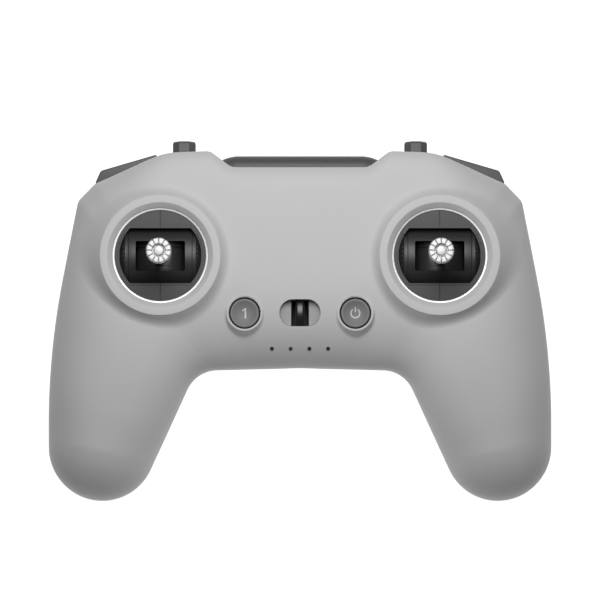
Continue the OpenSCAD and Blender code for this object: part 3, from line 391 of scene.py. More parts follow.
def pace(line):
    """Distance along a line at each of its points."""
    runs = [0.0]
    for a, b in zip(line, line[1:]):
        runs.append(runs[-1] + (b - a).length)
    return runs


def walk(line, runs, share):
    """The point at a share of a line's length."""
    goal = share * runs[-1]
    i = min(max(bisect.bisect_left(runs, goal), 1), len(line) - 1)
    step = runs[i] - runs[i - 1]
    return line[i - 1].lerp(line[i], (goal - runs[i - 1]) / step if step else 0)


outer_runs, inner_runs = pace(outer_line), pace(inner_line)
tip_run = -tip_turn * GRIP_END
GRIP_SHARE = 1 - tip_run / outer_runs[-1]
print("edges of one half, mm:", round(outer_runs[-1], 1), round(inner_runs[-1], 1))

# %% [markdown]
# Each section rises from the seam on both edges to the face or the back. It is a superellipse: a high power
# gives the crisp upper rim, a low one the full round of the grips. Each row of the table has a share of the
# edge, the heights of seam, face and back, the powers of the outer and inner half of the face and of the
# back, and the power of the inner half's height, which is low at the crotch, so the face rolls off early.
# A smooth curve runs through each column.

# %% Sections of the housing
FACE_Z, BACK_Z, SEAM_Z = 42, 7, 25.5
EDGE_MATCH = [(0, 0), (0.13, 0.15), (0.25, 0.24), (0.44, 0.325), (0.64, 0.42), (0.75, 0.54),
              (GRIP_SHARE, 1 - tip_run / inner_runs[-1]), (1, 1)]
SECTIONS = [
    (0, SEAM_Z, FACE_Z, BACK_Z, 8, 3, 4, 3, 1.8),
    (0.25, SEAM_Z, FACE_Z, BACK_Z + 1.5, 8, 2.6, 7, 3, 2),
    (0.34, SEAM_Z - 0.2, FACE_Z, BACK_Z + 1.5, 3.8, 2.4, 6, 2.9, 2.2),
    (0.42, SEAM_Z - 0.4, FACE_Z, BACK_Z + 1.5, 2.1, 2.3, 5, 2.8, 2.3),
    (0.55, SEAM_Z - 1.5, FACE_Z - 0.4, BACK_Z, 2.15, 2.3, 3, 2.6, 2.3),
    (0.66, SEAM_Z - 3.6, FACE_Z - 1.8, BACK_Z / 2, 2.1, 2.5, 2.5, 2.4, 2.5),
    (0.77, SEAM_Z - 6.5, FACE_Z - 4.7, BACK_Z / 12, 2.25, 2.4, 2.3, 2.2, 2.4),
    (GRIP_SHARE, 16.5, 33.5, 0, 2.1, 2.1, 2.2, 2.2, 2.1),
    (1, 14.5, 30, 0, 2.2, 2, 2.1, 2.1, 2)]


def smooth(table, share, column, level_start=True):
    """A smooth curve through one column of a table."""
    i = max(k for k in range(len(table) - 1) if share >= table[k][0])
    wide = table[i + 1][0] - table[i][0]
    f = (share - table[i][0]) / wide

    def slope(k):
        low, high = table[max(k - 1, 0)], table[min(k + 1, len(table) - 1)]
        return 0 if k == 0 and level_start else (high[column] - low[column]) / (high[0] - low[0]) * wide

    return (table[i][column] * (2 * f ** 3 - 3 * f ** 2 + 1) + slope(i) * (f ** 3 - 2 * f ** 2 + f)
            + table[i + 1][column] * (3 * f ** 2 - 2 * f ** 3) + slope(i + 1) * (f ** 3 - f ** 2))


SECTION_STEPS = 240


def section(share, front):
    """Points of one section, from the outer edge over the face or the back to the inner edge."""
    outer = walk(outer_line, outer_runs, share)
    inner = walk(inner_line, inner_runs, smooth(EDGE_MATCH, share, 1, False))
    seam = smooth(SECTIONS, share, 1)
    fullness = min(1, (outer - inner).length / 2 / GRIP_END)
    rise = fullness * ((smooth(SECTIONS, share, 2) if front else max(0, smooth(SECTIONS, share, 3))) - seam)
    squares = [smooth(SECTIONS, share, (4 if front else 6) + half) for half in (0, 1)]
    lifts = [squares[0], smooth(SECTIONS, share, 8) if front else squares[1]]
    points = []
    for j in range(SECTION_STEPS + 1):
        turn = math.pi * j / SECTION_STEPS
        half = turn > math.pi / 2
        across = -math.copysign(abs(math.cos(turn)) ** (2 / squares[half]), math.cos(turn))
        spot = outer.lerp(inner, (1 + across) / 2)
        points.append(Vector((spot.x, spot.y, seam + rise * abs(math.sin(turn)) ** (2 / lifts[half]))))
    return points


def face_height(y):
    """Height of the face on the middle line of the housing."""
    middle = section(0, True)
    return next(a.lerp(b, (a.y - y) / (a.y - b.y)).z for a, b in zip(middle, middle[1:]) if b.y <= y < a.y)


print("face at the buttons, mm:", round(face_height(gimbal.y - 18.9), 2))

# %% [markdown]
# A flat grid is carried onto the sections: one way along the edge, the other way across the face. Round the
# rings and the button collars the cells are cut finer. A wall of even thickness is given before the face is
# drawn up to the rings, so the inside stays plain.

# %% Halves of the housing
ALONG, ACROSS = 300, 68
WALL = 1.8
SEAM_GAP = 0.12


def shell_half(front, fine_spots):
    """One half of the housing as a wall, and the vertices of its outside."""
    bm = bmesh.new()
    bmesh.ops.create_grid(bm, x_segments=ALONG, y_segments=ACROSS, size=1)
    ready = {}
    for vert in bm.verts:
        share = round(abs(vert.co.x), 5)
        if share not in ready:
            points = section(share, front)
            ready[share] = points, pace(points)
        spot = walk(*ready[share], (1 - vert.co.y) / 2)
        vert.co = (math.copysign(spot.x, vert.co.x), spot.y, spot.z)
    bmesh.ops.remove_doubles(bm, verts=bm.verts, dist=1e-4)
    for spot, near, far, cuts in fine_spots:
        fine = [edge for edge in bm.edges
                if all(near < (vert.co.xy - spot.xy).length < far for vert in edge.verts)]
        bmesh.ops.subdivide_edges(bm, edges=fine, cuts=cuts, use_grid_fill=True)
    face_out(bm)
    if sum(face.normal.z * face.calc_area() for face in bm.faces) * (1 if front else -1) < 0:
        bmesh.ops.reverse_faces(bm, faces=bm.faces)
    rim = [vert for vert in bm.verts if vert.is_boundary]
    moves = [(vert, -vert.normal * SEAM_GAP * 2 + Vector((0, 0, SEAM_GAP if front else -SEAM_GAP)))
             for vert in rim]
    outside = set(bm.verts)
    bmesh.ops.solidify(bm, geom=bm.faces[:], thickness=WALL)
    for vert, move in moves:
        vert.co += move
    return bm, [vert for vert in bm.verts if vert in outside]


# %% [markdown]
# The front half carries the two gimbal rings. Each ring is a crisp flat band, and the face is drawn up to it
# in a steep cone, narrow above and wide below, where the face falls away. A smooth maximum of face and cone
# gives the cone its soft foot. The button collars sit level on the falling face in the same way.

# %% Front half with rings and collars
RING_TOP = gimbal.z + 14
RING_R, BORE_R, BEVEL = 19.7, 15.5, 1.7
COVER_TOP = RING_TOP - 2.5
BUTTON_X, BUTTON_Y = (sum(node_box("power_button"), Vector()) / 2).xy
BUTTON_Z = face_height(BUTTON_Y)
COLLAR_R, COLLAR_TOP = 5.95, BUTTON_Z + 0.55
HOLE_R = 5.15
gimbals = {side: Vector((sign * gimbal.x, gimbal.y, gimbal.z)) for side, sign in SIDES.items()}
buttons = [Vector((sign * BUTTON_X, BUTTON_Y, BUTTON_Z)) for sign in SIDES.values()]


def draw_up(verts, spot, radius, top, slope, blend):
    """Raises a face towards a ring by a cone of a given slope, with a soft foot."""
    for vert in verts:
        cone = top - slope * max(0, (vert.co.xy - spot.xy).length - radius)
        if cone > SEAM_Z + 5 and vert.co.z > SEAM_Z:
            near = max(blend - abs(cone - vert.co.z), 0) / blend
            vert.co.z = max(cone, vert.co.z) + near * near * blend / 4


def above(spot, high):
    """The place at a height over a spot."""
    return spot + Vector((0, 0, high))


front, outside = shell_half(True, [(spot, RING_R - 1.5, RING_R + 7.2, 2) for spot in gimbals.values()]
                            + [(spot, COLLAR_R - 2, COLLAR_R + 3.2, 2) for spot in buttons])
for spot in gimbals.values():
    draw_up(outside, spot, RING_R, RING_TOP - 0.3, 1.5, 2.2)
for spot in buttons:
    draw_up(outside, spot, COLLAR_R, COLLAR_TOP - 0.25, 2.2, 0.8)
ring_profile = rounded([(BORE_R, COVER_TOP - 2.5), (BORE_R, COVER_TOP + 0.9), (BORE_R + BEVEL, RING_TOP),
                        (RING_R, RING_TOP), (RING_R + 0.05, COVER_TOP - 2.5)],
                       [0.1, 0.15, 0.3], 4)
collar_profile = rounded([(HOLE_R, BUTTON_Z - 2.6), (HOLE_R, COLLAR_TOP), (COLLAR_R, COLLAR_TOP),
                          (COLLAR_R + 0.05, BUTTON_Z - 2.6)], [0.3, 0.3], 4)
front = combine(front, "DIFFERENCE",
                [rod(RING_R - 1, 20, above(spot, 12), steps=128) for spot in gimbals.values()]
                + [rod(HOLE_R + 0.4, 12, spot, steps=64) for spot in buttons])
front = combine(front, "UNION",
                [turned(ring_profile, (*spot.xy, 0), steps=160) for spot in gimbals.values()]
                + [turned(collar_profile, (*spot.xy, 0)) for spot in buttons])
print("front half with rings:", len(front.faces), "faces")

# %% [markdown]
# Between the buttons lies the lanyard recess: a stadium whose two ends are scooped out for a finger, with a
# deep trench under the bar. The scoop is what a wide lying cylinder cuts out of the stadium. A tub behind the
# face closes the trench; its rim leans with the face. Four lamp holes stand in a row below.

# %% Recess and lamp holes
bar_low, bar_high = node_box("lanyard_bar")
pipe_low, pipe_high = node_box("light_pipe")
RECESS_Y = (bar_low.y + bar_high.y) / 2
RECESS_TOP = face_height(RECESS_Y)
RECESS_WIDE, RECESS_HIGH, RECESS_DEEP = 13.4, 8.7, 8.4
TRENCH = 5.8
LAMP_Y = (pipe_low.y + pipe_high.y) / 2
LAMP_STEP, LAMP_HOLE_R = 6.1, 0.66
LAMP_XS = [LAMP_STEP * (i - 1.5) for i in range(4)]


def stadium(wide, high, steps=48):
    """Outline of a slot with round ends."""
    turns = [2 * math.pi * (i + 0.5) / steps for i in range(steps)]
    return [(math.copysign((wide - high) / 2, math.cos(t)) + high / 2 * math.cos(t), high / 2 * math.sin(t))
            for t in turns]


def recess_scoop(deep, inset=0):
    """What a wide lying cylinder cuts out of the stadium, down to a depth in the middle."""
    outline = stadium(RECESS_WIDE - 2 * inset, RECESS_HIGH - 2 * inset, 96)
    block = set_at(prism(outline, -6, 4), (0, RECESS_Y, RECESS_TOP))
    floor_z = RECESS_TOP - deep
    return combine(block, "INTERSECT", [rod(SCOOP_R, 20, (0, RECESS_Y, floor_z + SCOOP_R), "Y", 160)])


def trench_block(inset, low):
    """A block as wide as the trench less an inset, from a depth to above the face."""
    return slab((TRENCH - 2 * inset, RECESS_HIGH - 0.3 - 2 * inset, low + 4),
                (0, RECESS_Y, RECESS_TOP + 2 - low / 2), 0.4)


SCOOP_R, SCOOP_DEEP, PAD_THICK = 12, 3.4, 0.7
TUB_LEAN = 0.175
scoop = recess_scoop(SCOOP_DEEP + PAD_THICK)
trench = trench_block(0, RECESS_DEEP)
tub = prism(stadium(RECESS_WIDE + 1.6, RECESS_HIGH + 1.6), -RECESS_DEEP - 1.2, -0.55)
for vert in tub.verts:
    if vert.co.z > -1:
        vert.co.z += TUB_LEAN * vert.co.y
set_at(tub, (0, RECESS_Y, RECESS_TOP))
lamp_holes = [rod(LAMP_HOLE_R, 8, (x, LAMP_Y, face_height(LAMP_Y)), steps=32) for x in LAMP_XS]
front = combine(front, "UNION", [tub])
front = combine(front, "DIFFERENCE", [scoop, trench, *lamp_holes])
finish_piece(front, "front_housing", PALE_ABS, "body", "front_shell")

# %% [markdown]
# Each gimbal opens on a dark cover plate inside a bright silver ring. The plate has a round opening cut off
# flat above and below, a thin raised lip along the flats, and a hair groove at twelve and six o'clock. Ring
# and plate are turned, and the opening is cut by a round tool trimmed to a band.

# %% Cover plates and silver rings
COVER_THICK = 1.5
OPEN_R, OPEN_BAND = 13.35, 18
TRIM_IN, TRIM_OUT, TRIM_TOP = BORE_R - 0.62, BORE_R - 0.02, COVER_TOP + 0.5
PLATE_R = 18.4


def opening_tool(radius, band, depth, spot, top):
    """A round tool trimmed to a band, for the opening of a cover plate."""
    bm = rod(radius, depth, (0, 0, 0), steps=160)
    for sign in (-1, 1):
        cut = bmesh.ops.bisect_plane(bm, geom=bm.verts[:] + bm.edges[:] + bm.faces[:], clear_outer=True,
                                     plane_co=(0, sign * band / 2, 0), plane_no=(0, sign, 0))["geom_cut"]
        bmesh.ops.contextual_create(bm, geom=[part for part in cut if isinstance(part, bmesh.types.BMEdge)])
    face_out(bm)
    return set_at(bm, (*spot.xy, top - depth / 2))


for side, spot in gimbals.items():
    trim = turned(rounded([(TRIM_IN, COVER_TOP + 0.02), (TRIM_IN, TRIM_TOP - 0.14), (TRIM_OUT, TRIM_TOP),
                           (TRIM_OUT, COVER_TOP + 0.02)], [0, 0.05, 0.05, 0], 4, closed=True),
                  (*spot.xy, 0), steps=160)
    finish_piece(trim, side + "_silver_ring", RING_SILVER, "body", side + "_trim_ring")
    plate = turned(rounded([(0, COVER_TOP), (PLATE_R, COVER_TOP), (PLATE_R, COVER_TOP - COVER_THICK),
                            (0, COVER_TOP - COVER_THICK)], [0.2, 0.2], 2), (*spot.xy, 0), steps=160)
    lips = slab((2 * OPEN_R, OPEN_BAND + 1.3, COVER_THICK), (*spot.xy, COVER_TOP - 0.6), 0.15)
    lips = combine(lips, "INTERSECT", [rod(OPEN_R + 0.7, 9, (*spot.xy, COVER_TOP))])
    plate = combine(plate, "UNION", [lips])
    plate = combine(plate, "DIFFERENCE", [
        opening_tool(OPEN_R, OPEN_BAND, 8, spot, COVER_TOP + 4),
        opening_tool(OPEN_R + 0.45, OPEN_BAND - 4, 2, spot, COVER_TOP + 1.7),
        slab((0.4, 40, 1.4), (*spot.xy, COVER_TOP))])
    finish_piece(plate, side + "_cover_plate", COVER_NYLON, "body", side + "_gimbal_cover")

# %% [markdown]
# The pitch drum is a half barrel that tips fore and aft. It has a smooth middle band, a small step down to
# ball-shaped ends with index ticks, and a slot for the stick. It is turned about the X axis, hollowed, and
# its skirt, slot and ticks are cut.

# %% Pitch drums
DRUM_R, DRUM_BAND, DRUM_HALF = 12, 10.3, 13.15
DRUM_BALL = math.hypot(OPEN_R - 0.35, COVER_TOP - COVER_THICK - gimbal.z)
TRUNNION_R, TRUNNION_END = 1.5, 17.3
SLOT_WIDE, SLOT_HIGH = 16.07, 9.7
DRUM_SKIN, DRUM_SKIRT, TICK_TURN = 1.2, 6, 0.13


def drum_profile():
    """Half profile of the drum, mirrored about its middle."""
    low_r = DRUM_R - 0.3
    start, stop = math.acos(low_r / DRUM_BALL), math.asin(DRUM_HALF / DRUM_BALL)
    turns = [start + (stop - start) * i / 8 for i in range(9)]
    half = rounded([(DRUM_R, 0), (DRUM_R, DRUM_BAND), (low_r, DRUM_BAND + 0.1),
                    (low_r, DRUM_BALL * math.sin(start))], [0.15, 0.1], 3)
    half += [Vector((DRUM_BALL * math.cos(t), DRUM_BALL * math.sin(t))) for t in turns[1:]]
    half += [Vector(p) for p in ((9, DRUM_HALF), (9, DRUM_HALF + 1), (TRUNNION_R, DRUM_HALF + 1),
                                 (TRUNNION_R, TRUNNION_END), (0, TRUNNION_END))]
    return [(p.x, -p.y) for p in reversed(half[1:])] + half


def climb(edge):
    """How far an edge climbs."""
    return abs(edge.verts[0].co.z - edge.verts[1].co.z)


for side, spot in gimbals.items():
    drum = turned(drum_profile(), spot, "X", steps=160)
    ticks = []
    for edge in (-1, 1):
        for tip in range(-2, 3):
            tick = slab((1.6, 0.25, 0.5), (edge * (DRUM_HALF - 1.5), 0, DRUM_R - 0.7))
            bmesh.ops.rotate(tick, cent=(0, 0, 0), verts=tick.verts,
                             matrix=Matrix.Rotation(tip * TICK_TURN, 3, "X"))
            ticks.append(set_at(tick, spot))
    slot_tool = slab((SLOT_WIDE, SLOT_HIGH, 2 * DRUM_R), above(spot, DRUM_R))
    bevel_edges(slot_tool, [edge for edge in slot_tool.edges if climb(edge) > 1], 0.5, 3)
    drum = combine(drum, "DIFFERENCE", [
        rod(DRUM_R - DRUM_SKIN, 2 * (DRUM_BAND + 0.7), spot, "X", 96), slot_tool,
        slab((60, 60, 20), above(spot, -DRUM_SKIRT - 10)), rod(1.25, 40, spot, "Y", 32), *ticks])
    finish_piece(drum, side + "_slotted_drum", DRUM_ACETAL, side + "_drum", side + "_pitch_drum")

# %% [markdown]
# Behind the slot sits the dark rocker that tips sideways with the stick: a half barrel about the Y axis with
# a stepped middle, a hub for its pin and a socket for the stick.

# %% Rockers
ROCKER_R, ROCKER_HALF = 9.2, 5.0
rocker_profile = rounded(
    [(ROCKER_R - 1.4, -ROCKER_HALF), (ROCKER_R, -ROCKER_HALF), (ROCKER_R, -3.2), (ROCKER_R - 0.35, -3),
     (ROCKER_R - 0.35, 3), (ROCKER_R, 3.2), (ROCKER_R, ROCKER_HALF), (ROCKER_R - 1.4, ROCKER_HALF)],
    [0, 0.3, 0.1, 0.1, 0.1, 0.1, 0.3, 0], 3, closed=True)
for side, spot in gimbals.items():
    rocker = turned(rocker_profile, spot, "Y", steps=128)
    rocker = combine(rocker, "DIFFERENCE", [slab((40, 40, 20), above(spot, -2.5 - 10))])
    rocker = combine(rocker, "UNION", [rod(3.2, 2 * ROCKER_HALF, spot, "Y", 48),
                                       rod(3.5, ROCKER_R - 0.6, above(spot, (ROCKER_R - 0.6) / 2))])
    rocker = combine(rocker, "DIFFERENCE", [rod(1.2, 30, spot, "Y", 32), rod(2.32, 20, above(spot, 13))])
    finish_piece(rocker, side + "_rocker", DRUM_ACETAL, side + "_stick", side + "_roll_rocker")

# %% [markdown]
# The stick ends in a crown of twelve petals round a domed nub. A turned profile gives the sleeve and the
# flare; then every vertex of the head is drawn in and down between the petals, so each petal is a small
# rounded tooth.

# %% Stick crowns
STICK_LONG, CROWN_LOW, NECK_R, HEAD_R, NUB_R = 31, 19.2, 3, 4.1, 1.7
PETALS, PETAL_STEPS = 12, 18
PETAL_FOOT, GROOVE_WIDE, GROOVE_DEEP = STICK_LONG - 4.2, 0.18, 0.6
crown_profile = rounded([(NUB_R + 0.02, CROWN_LOW), (NECK_R, CROWN_LOW), (NECK_R, 24.8), (HEAD_R, 28.2),
                         (HEAD_R, STICK_LONG), (NUB_R + 0.5, STICK_LONG), (NUB_R + 0.45, STICK_LONG - 2),
                         (NUB_R + 0.02, STICK_LONG - 2)], [0.3, 1.5, 1.2, 0.5, 0.2, 0.1], 6)
shaft_profile = rounded([(0, 3.02), (2.3, 3.02), (2.3, CROWN_LOW - 0.02), (NUB_R, CROWN_LOW - 0.02),
                         (NUB_R, STICK_LONG - 0.5), (0, STICK_LONG - 0.25)], [0.2, 0, 0, 0.5], 5)


def petal(turn):
    """1 on the broad face of a petal, 0 in the groove between two."""
    share = (turn * PETALS / (2 * math.pi)) % 1
    near = min(1, min(share, 1 - share) / GROOVE_WIDE)
    return math.sqrt(1 - (1 - near) ** 2)


for side, spot in gimbals.items():
    crown = turned(crown_profile, (0, 0, 0), steps=PETALS * PETAL_STEPS)
    for vert in crown.verts:
        reach = vert.co.xy.length
        if vert.co.z > PETAL_FOOT and reach > NUB_R + 0.4:
            groove = 1 - petal(math.atan2(vert.co.y, vert.co.x))
            grip = min(1, (vert.co.z - PETAL_FOOT) / 1.5)
            outer = (reach - NUB_R) / (HEAD_R - NUB_R)
            vert.co.xy *= 1 - 0.08 * groove * grip * outer
            vert.co.z -= GROOVE_DEEP * groove * grip
    set_at(crown, spot)
    finish_piece(crown, side + "_crown", TURNED_ALUMINIUM, side + "_stick", side + "_stick_crown",
                 sharp=60)
    shaft = turned(shaft_profile, spot, steps=64)
    finish_piece(shaft, side + "_shaft", TURNED_ALUMINIUM, side + "_stick", side + "_stick_shaft")

# %% [markdown]
# The two face buttons are soft grey caps with a dished top and a rounded edge, on a long stem above a switch.
# They are turned, and the dish is part of a ball.

# %% Face buttons
CAP_R, CAP_TOP = 4.7, BUTTON_Z + 0.25
DISH_R, DISH_DEEP = 7.5, 1.2
CAP_LOW = node_box("power_button")[0].z
LIP_Z = BUTTON_Z - 5.2


def dish(x, y):
    """Height of the dished top of a cap at a place counted from its middle."""
    return CAP_TOP - DISH_DEEP + DISH_R - math.sqrt(DISH_R ** 2 - x * x - y * y)


rim_r = math.sqrt(DISH_R ** 2 - (DISH_R - DISH_DEEP) ** 2)
hollow = [(rim_r * i / 12, dish(rim_r * i / 12, 0)) for i in range(13)]
cap_profile = hollow + rounded(
    [(rim_r, CAP_TOP), (CAP_R, CAP_TOP), (CAP_R, LIP_Z), (CAP_R + 0.8, LIP_Z), (CAP_R + 0.8, LIP_Z - 1),
     (1.8, LIP_Z - 1), (1.8, CAP_LOW), (0, CAP_LOW)], [0.35, 0, 0.2, 0.2, 0, 0.2], 4)[1:]
for name, spot in zip(("custom", "power"), buttons):
    cap = turned(cap_profile, (*spot.xy, 0))
    finish_piece(cap, name + "_key", KEY_RUBBER, name + "_button", name + "_button")

# %% [markdown]
# Their marks are printed: a plain numeral on one and the common power sign on the other. A stroke is a flat
# strip: a line spun to an arc for the ring of the power sign, and small grids for the straight strokes. Each
# point takes the height of the dish, because a print has almost no height but a clean edge.

# %% Printed marks
PRINT_INK = moulded_plastic("pad_printed_white_ink", "#C9CACA", "#C2C3C3", 0.2, 0.003, 0.5)
STROKE = 0.42


def straight_stroke(bm, wide, high, x, y, lean=0):
    """Adds a printed bar with its middle at a place, leaning by an angle."""
    verts = bmesh.ops.create_grid(bm, x_segments=2, y_segments=8, size=0.5)["verts"]
    shape = Matrix.Rotation(lean, 4, "Z") @ Matrix.Diagonal((wide, high, 1, 1))
    bmesh.ops.transform(bm, matrix=Matrix.Translation((x, y, 0)) @ shape, verts=verts)


def arc_stroke(bm, radius, start, sweep):
    """Adds a printed arc round the middle of a cap."""
    ends = [bm.verts.new(((radius + off) * math.cos(start), (radius + off) * math.sin(start), 0))
            for off in (-STROKE / 2, STROKE / 2)]
    edge = bm.edges.new(ends)
    bmesh.ops.spin(bm, geom=[*ends, edge], cent=(0, 0, 0), axis=(0, 0, 1), angle=sweep, steps=40)


def print_mark(mark, name, spot, body):
    """Lays strokes on the dish of a cap as one thin print."""
    for vert in mark.verts:
        vert.co.z = dish(vert.co.x, vert.co.y) + 0.03
    for face in mark.faces:
        face.normal_update()
        if face.normal.z < 0:
            face.normal_flip()
    bmesh.ops.solidify(mark, geom=mark.faces[:], thickness=0.02)
    face_out(mark)
    bmesh.ops.translate(mark, vec=(*spot.xy, 0), verts=mark.verts)
    finish_piece(mark, name, PRINT_INK, body, None)


numeral, power = bmesh.new(), bmesh.new()
straight_stroke(numeral, 0.5, 3.3, 0.25, 0)
straight_stroke(numeral, 0.45, 1.25, -0.2, 1.2, -0.9)
print_mark(numeral, "numeral_print", buttons[0], "custom_button")
arc_stroke(power, 1.45, math.radians(122), math.radians(296))
straight_stroke(power, STROKE, 1.7, 0, 1.2)
print_mark(power, "power_print", buttons[1], "power_button")

# %% [markdown]
# The lanyard bar is a polished black strap, arched across the trench like the handle of a lid, so only one
# spot of it shines. The trench is lined with a thin black sheet, which paints the shade of the deep trench,
# and the two scoops hold grey pads a shade darker than the housing, which paint the shade in the scoops, with
# a hair gap round them. The four lamps are the domed tops of one smoked light pipe, sunk in their holes.

# %% Lanyard bar and lamps
SMOKED_PC = moulded_plastic("moulded_smoked_polycarbonate", "#4A4A4A", "#444444", 0.5, 0.001, 0.2)
# The pads' grey is a shade darker than the housing's: it paints the shade in the scoops.
PAD_SHADE_ABS = moulded_plastic("polished_mould_abs_painted_shade", "#ACACAC", "#A6A6A6", 0.6, 0.006, 0.5)
LAMP_SUNK = 1.15
BAR_R, BAR_BOW, BAR_HALF, BAR_SUNK = 1.48, 7, 4.95, 0.4
bar_line = [(BAR_R, -BAR_HALF + 2 * BAR_HALF * i / 24) for i in range(25)]
bar = turned([(0, -BAR_HALF), *bar_line, (0, BAR_HALF)], (0, 0, 0), "Y", steps=64)
bow_z = bar_high.z - BAR_SUNK - BAR_R - BAR_BOW
for vert in bar.verts:
    if vert.co.xz.length > 0.1:
        vert.co.xz *= BAR_R / (vert.co.x ** 4 + vert.co.z ** 4) ** 0.25
    turn, reach = vert.co.y / BAR_BOW, BAR_BOW + vert.co.z
    vert.co.yz = RECESS_Y + reach * math.sin(turn), bow_z + reach * math.cos(turn)
finish_piece(bar, "lanyard_pin", BLACK_ACETAL, "body", "lanyard_bar")
# The liner is a thin black sheet laid in the trench: it paints the shade of the deep trench.
shade_liner = combine(trench_block(0.02, RECESS_DEEP - 0.02), "DIFFERENCE",
                [trench_block(0.2, RECESS_DEEP - 0.3), recess_scoop(SCOOP_DEEP + 0.05),
                 slab((20, 20, 8), (0, RECESS_Y, RECESS_TOP + 3.6))])
finish_piece(shade_liner, "painted_shade_trench_liner", BLACK_ACETAL, "body", None)
# The pads in the scoops carry the darker grey that paints the shade in the scoops.
shade_pads = combine(recess_scoop(SCOOP_DEEP + PAD_THICK - 0.02, 0.22), "DIFFERENCE",
               [recess_scoop(SCOOP_DEEP), slab((TRENCH + 0.04, 12, 20), (0, RECESS_Y, RECESS_TOP))])
finish_piece(shade_pads, "recess_painted_shade_pads", PAD_SHADE_ABS, "body", None)
lens_top = face_height(LAMP_Y) - LAMP_SUNK
lens_profile = rounded([(0, pipe_low.z), (0.58, pipe_low.z), (0.58, lens_top - 0.1), (0, lens_top + 0.1)],
                       [0.1, 0.15], 4)
pipe = slab((3 * LAMP_STEP + 2, 1.4, 1.2), (0, LAMP_Y, pipe_low.z + 2.7), 0.2)
pipe = combine(pipe, "UNION", [turned(lens_profile, (x, LAMP_Y, 0), steps=32) for x in LAMP_XS])
finish_piece(pipe, "smoked_light_pipe", SMOKED_PC, "body", "light_pipe")

# %% [markdown]
# A toggle is a dark faceted stud on a round barrel that tips on a pin behind the shoulder. The stud is a
# prism with cut corners, so its middle facet catches more light than those beside it, and its tip is rounded.

# %% Shoulder toggles
TOGGLE_WIDE, STUD_DEEP, STUD_CUT = 7.5, 6.6, 2.1
BARREL_R = 5.4
for side in SIDES:
    body = side + "_toggle"
    spot = pivots[body + "_tip"]
    tip = cad_box[1].y / MM - spot.y
    w, d, c = TOGGLE_WIDE / 2, STUD_DEEP / 2, STUD_CUT
    stud = prism([(-w, -d + c), (-w + c, -d), (w - c, -d), (w, -d + c), (w, d - c), (w - c, d), (-w + c, d),
                  (-w, d - c)], 0, tip)
    bevel_edges(stud, [e for e in stud.edges if all(v.co.z > tip - 0.01 for v in e.verts)], 0.9, 5)
    set_at(stud, spot, "Y")
    barrel = rounded([(1.15, -w), (BARREL_R, -w), (BARREL_R, w), (1.15, w)], [0, 0.5, 0.5, 0], 4, closed=True)
    toggle = combine(stud, "UNION", [turned(barrel, spot, "X")])
    toggle = combine(toggle, "DIFFERENCE", [rod(1.15, 20, spot, "X", 32)])
    finish_piece(toggle, body + "_stud", GRAPHITE_ABS, body, body)

# %% [markdown]
# The bumpers are dark wedges let into the bevelled shoulders. A flat outline with rounded corners is raised
# to the height of the wedge, and its upper and lower edges are rounded too.

# %% Shoulder bumpers
bumper_low, bumper_high = node_box("right_bumper")
bumper_pin = pivots["right_bumper_press"]
BUMPER_LINE = [(47.2, 54.5), (65.6, 49.1), (67.6, 44.6), (63.5, 42.5), (50.7, 46.2), (46.5, 48.2)]


def bumper_outline(grow=0):
    """Outline of the right bumper, grown by a clearance."""
    middle = sum((Vector(p) for p in BUMPER_LINE), Vector((0, 0))) / len(BUMPER_LINE)
    grown = [Vector(p) + (Vector(p) - middle).normalized() * grow * 1.4 for p in BUMPER_LINE]
    return rounded(grown, [0.5, 1.6, 1.2, 0.6, 0.4, 0.4], 5, closed=True)


for side, sign in SIDES.items():
    wedge = prism(bumper_outline(), bumper_low.z, bumper_high.z)
    bevel_edges(wedge, [edge for edge in wedge.edges if climb(edge) < 0.01], 0.6, 4)
    wedge = combine(wedge, "DIFFERENCE", [rod(1.05, 9, (*bumper_pin.xy, bumper_low.z + 4), steps=32)])
    bmesh.ops.scale(wedge, vec=(sign, 1, 1), verts=wedge.verts)
    face_out(wedge)
    body = side + "_bumper"
    finish_piece(wedge, body + "_wedge", GRAPHITE_ABS, body, body)

# %% [markdown]
# The tilt dial at the back is a wheel with twenty-four finger notches and a dished side. Its rim is spun fine
# enough for every notch to have a few points, and the points are drawn in.

# %% Tilt dial
DIAL_R, DIAL_HALF, DIAL_DISH, NOTCHES = 6.2, 2.5, 2, 24
dial_spot = pivots["tilt_dial_turn"]
dial = turned(rounded([(1.05, -DIAL_DISH), (3.6, -DIAL_DISH), (4.3, -DIAL_HALF), (DIAL_R, -DIAL_HALF),
                       (DIAL_R, DIAL_HALF), (4.3, DIAL_HALF), (3.6, DIAL_DISH), (1.05, DIAL_DISH)],
                      [0, 0.2, 0.2, 0.5, 0.5, 0.2, 0.2, 0], 3, closed=True), (0, 0, 0), steps=NOTCHES * 8)
for vert in dial.verts:
    if vert.co.xy.length > 5.2:
        ridge = math.cos(math.atan2(vert.co.y, vert.co.x) * NOTCHES)
        vert.co.xy *= 1 - 0.055 * max(0, ridge) ** 1.5
finish_piece(set_at(dial, dial_spot, "X"), "notched_dial", GRAPHITE_ABS, "tilt_dial", "tilt_dial")

# %% [markdown]
# The antenna flap lies along the back and turns up to a barrel in the saddle. Its side profile, a plate with
# a round bend, is raised across the width, trimmed to an outline with round corners and joined to the barrel.

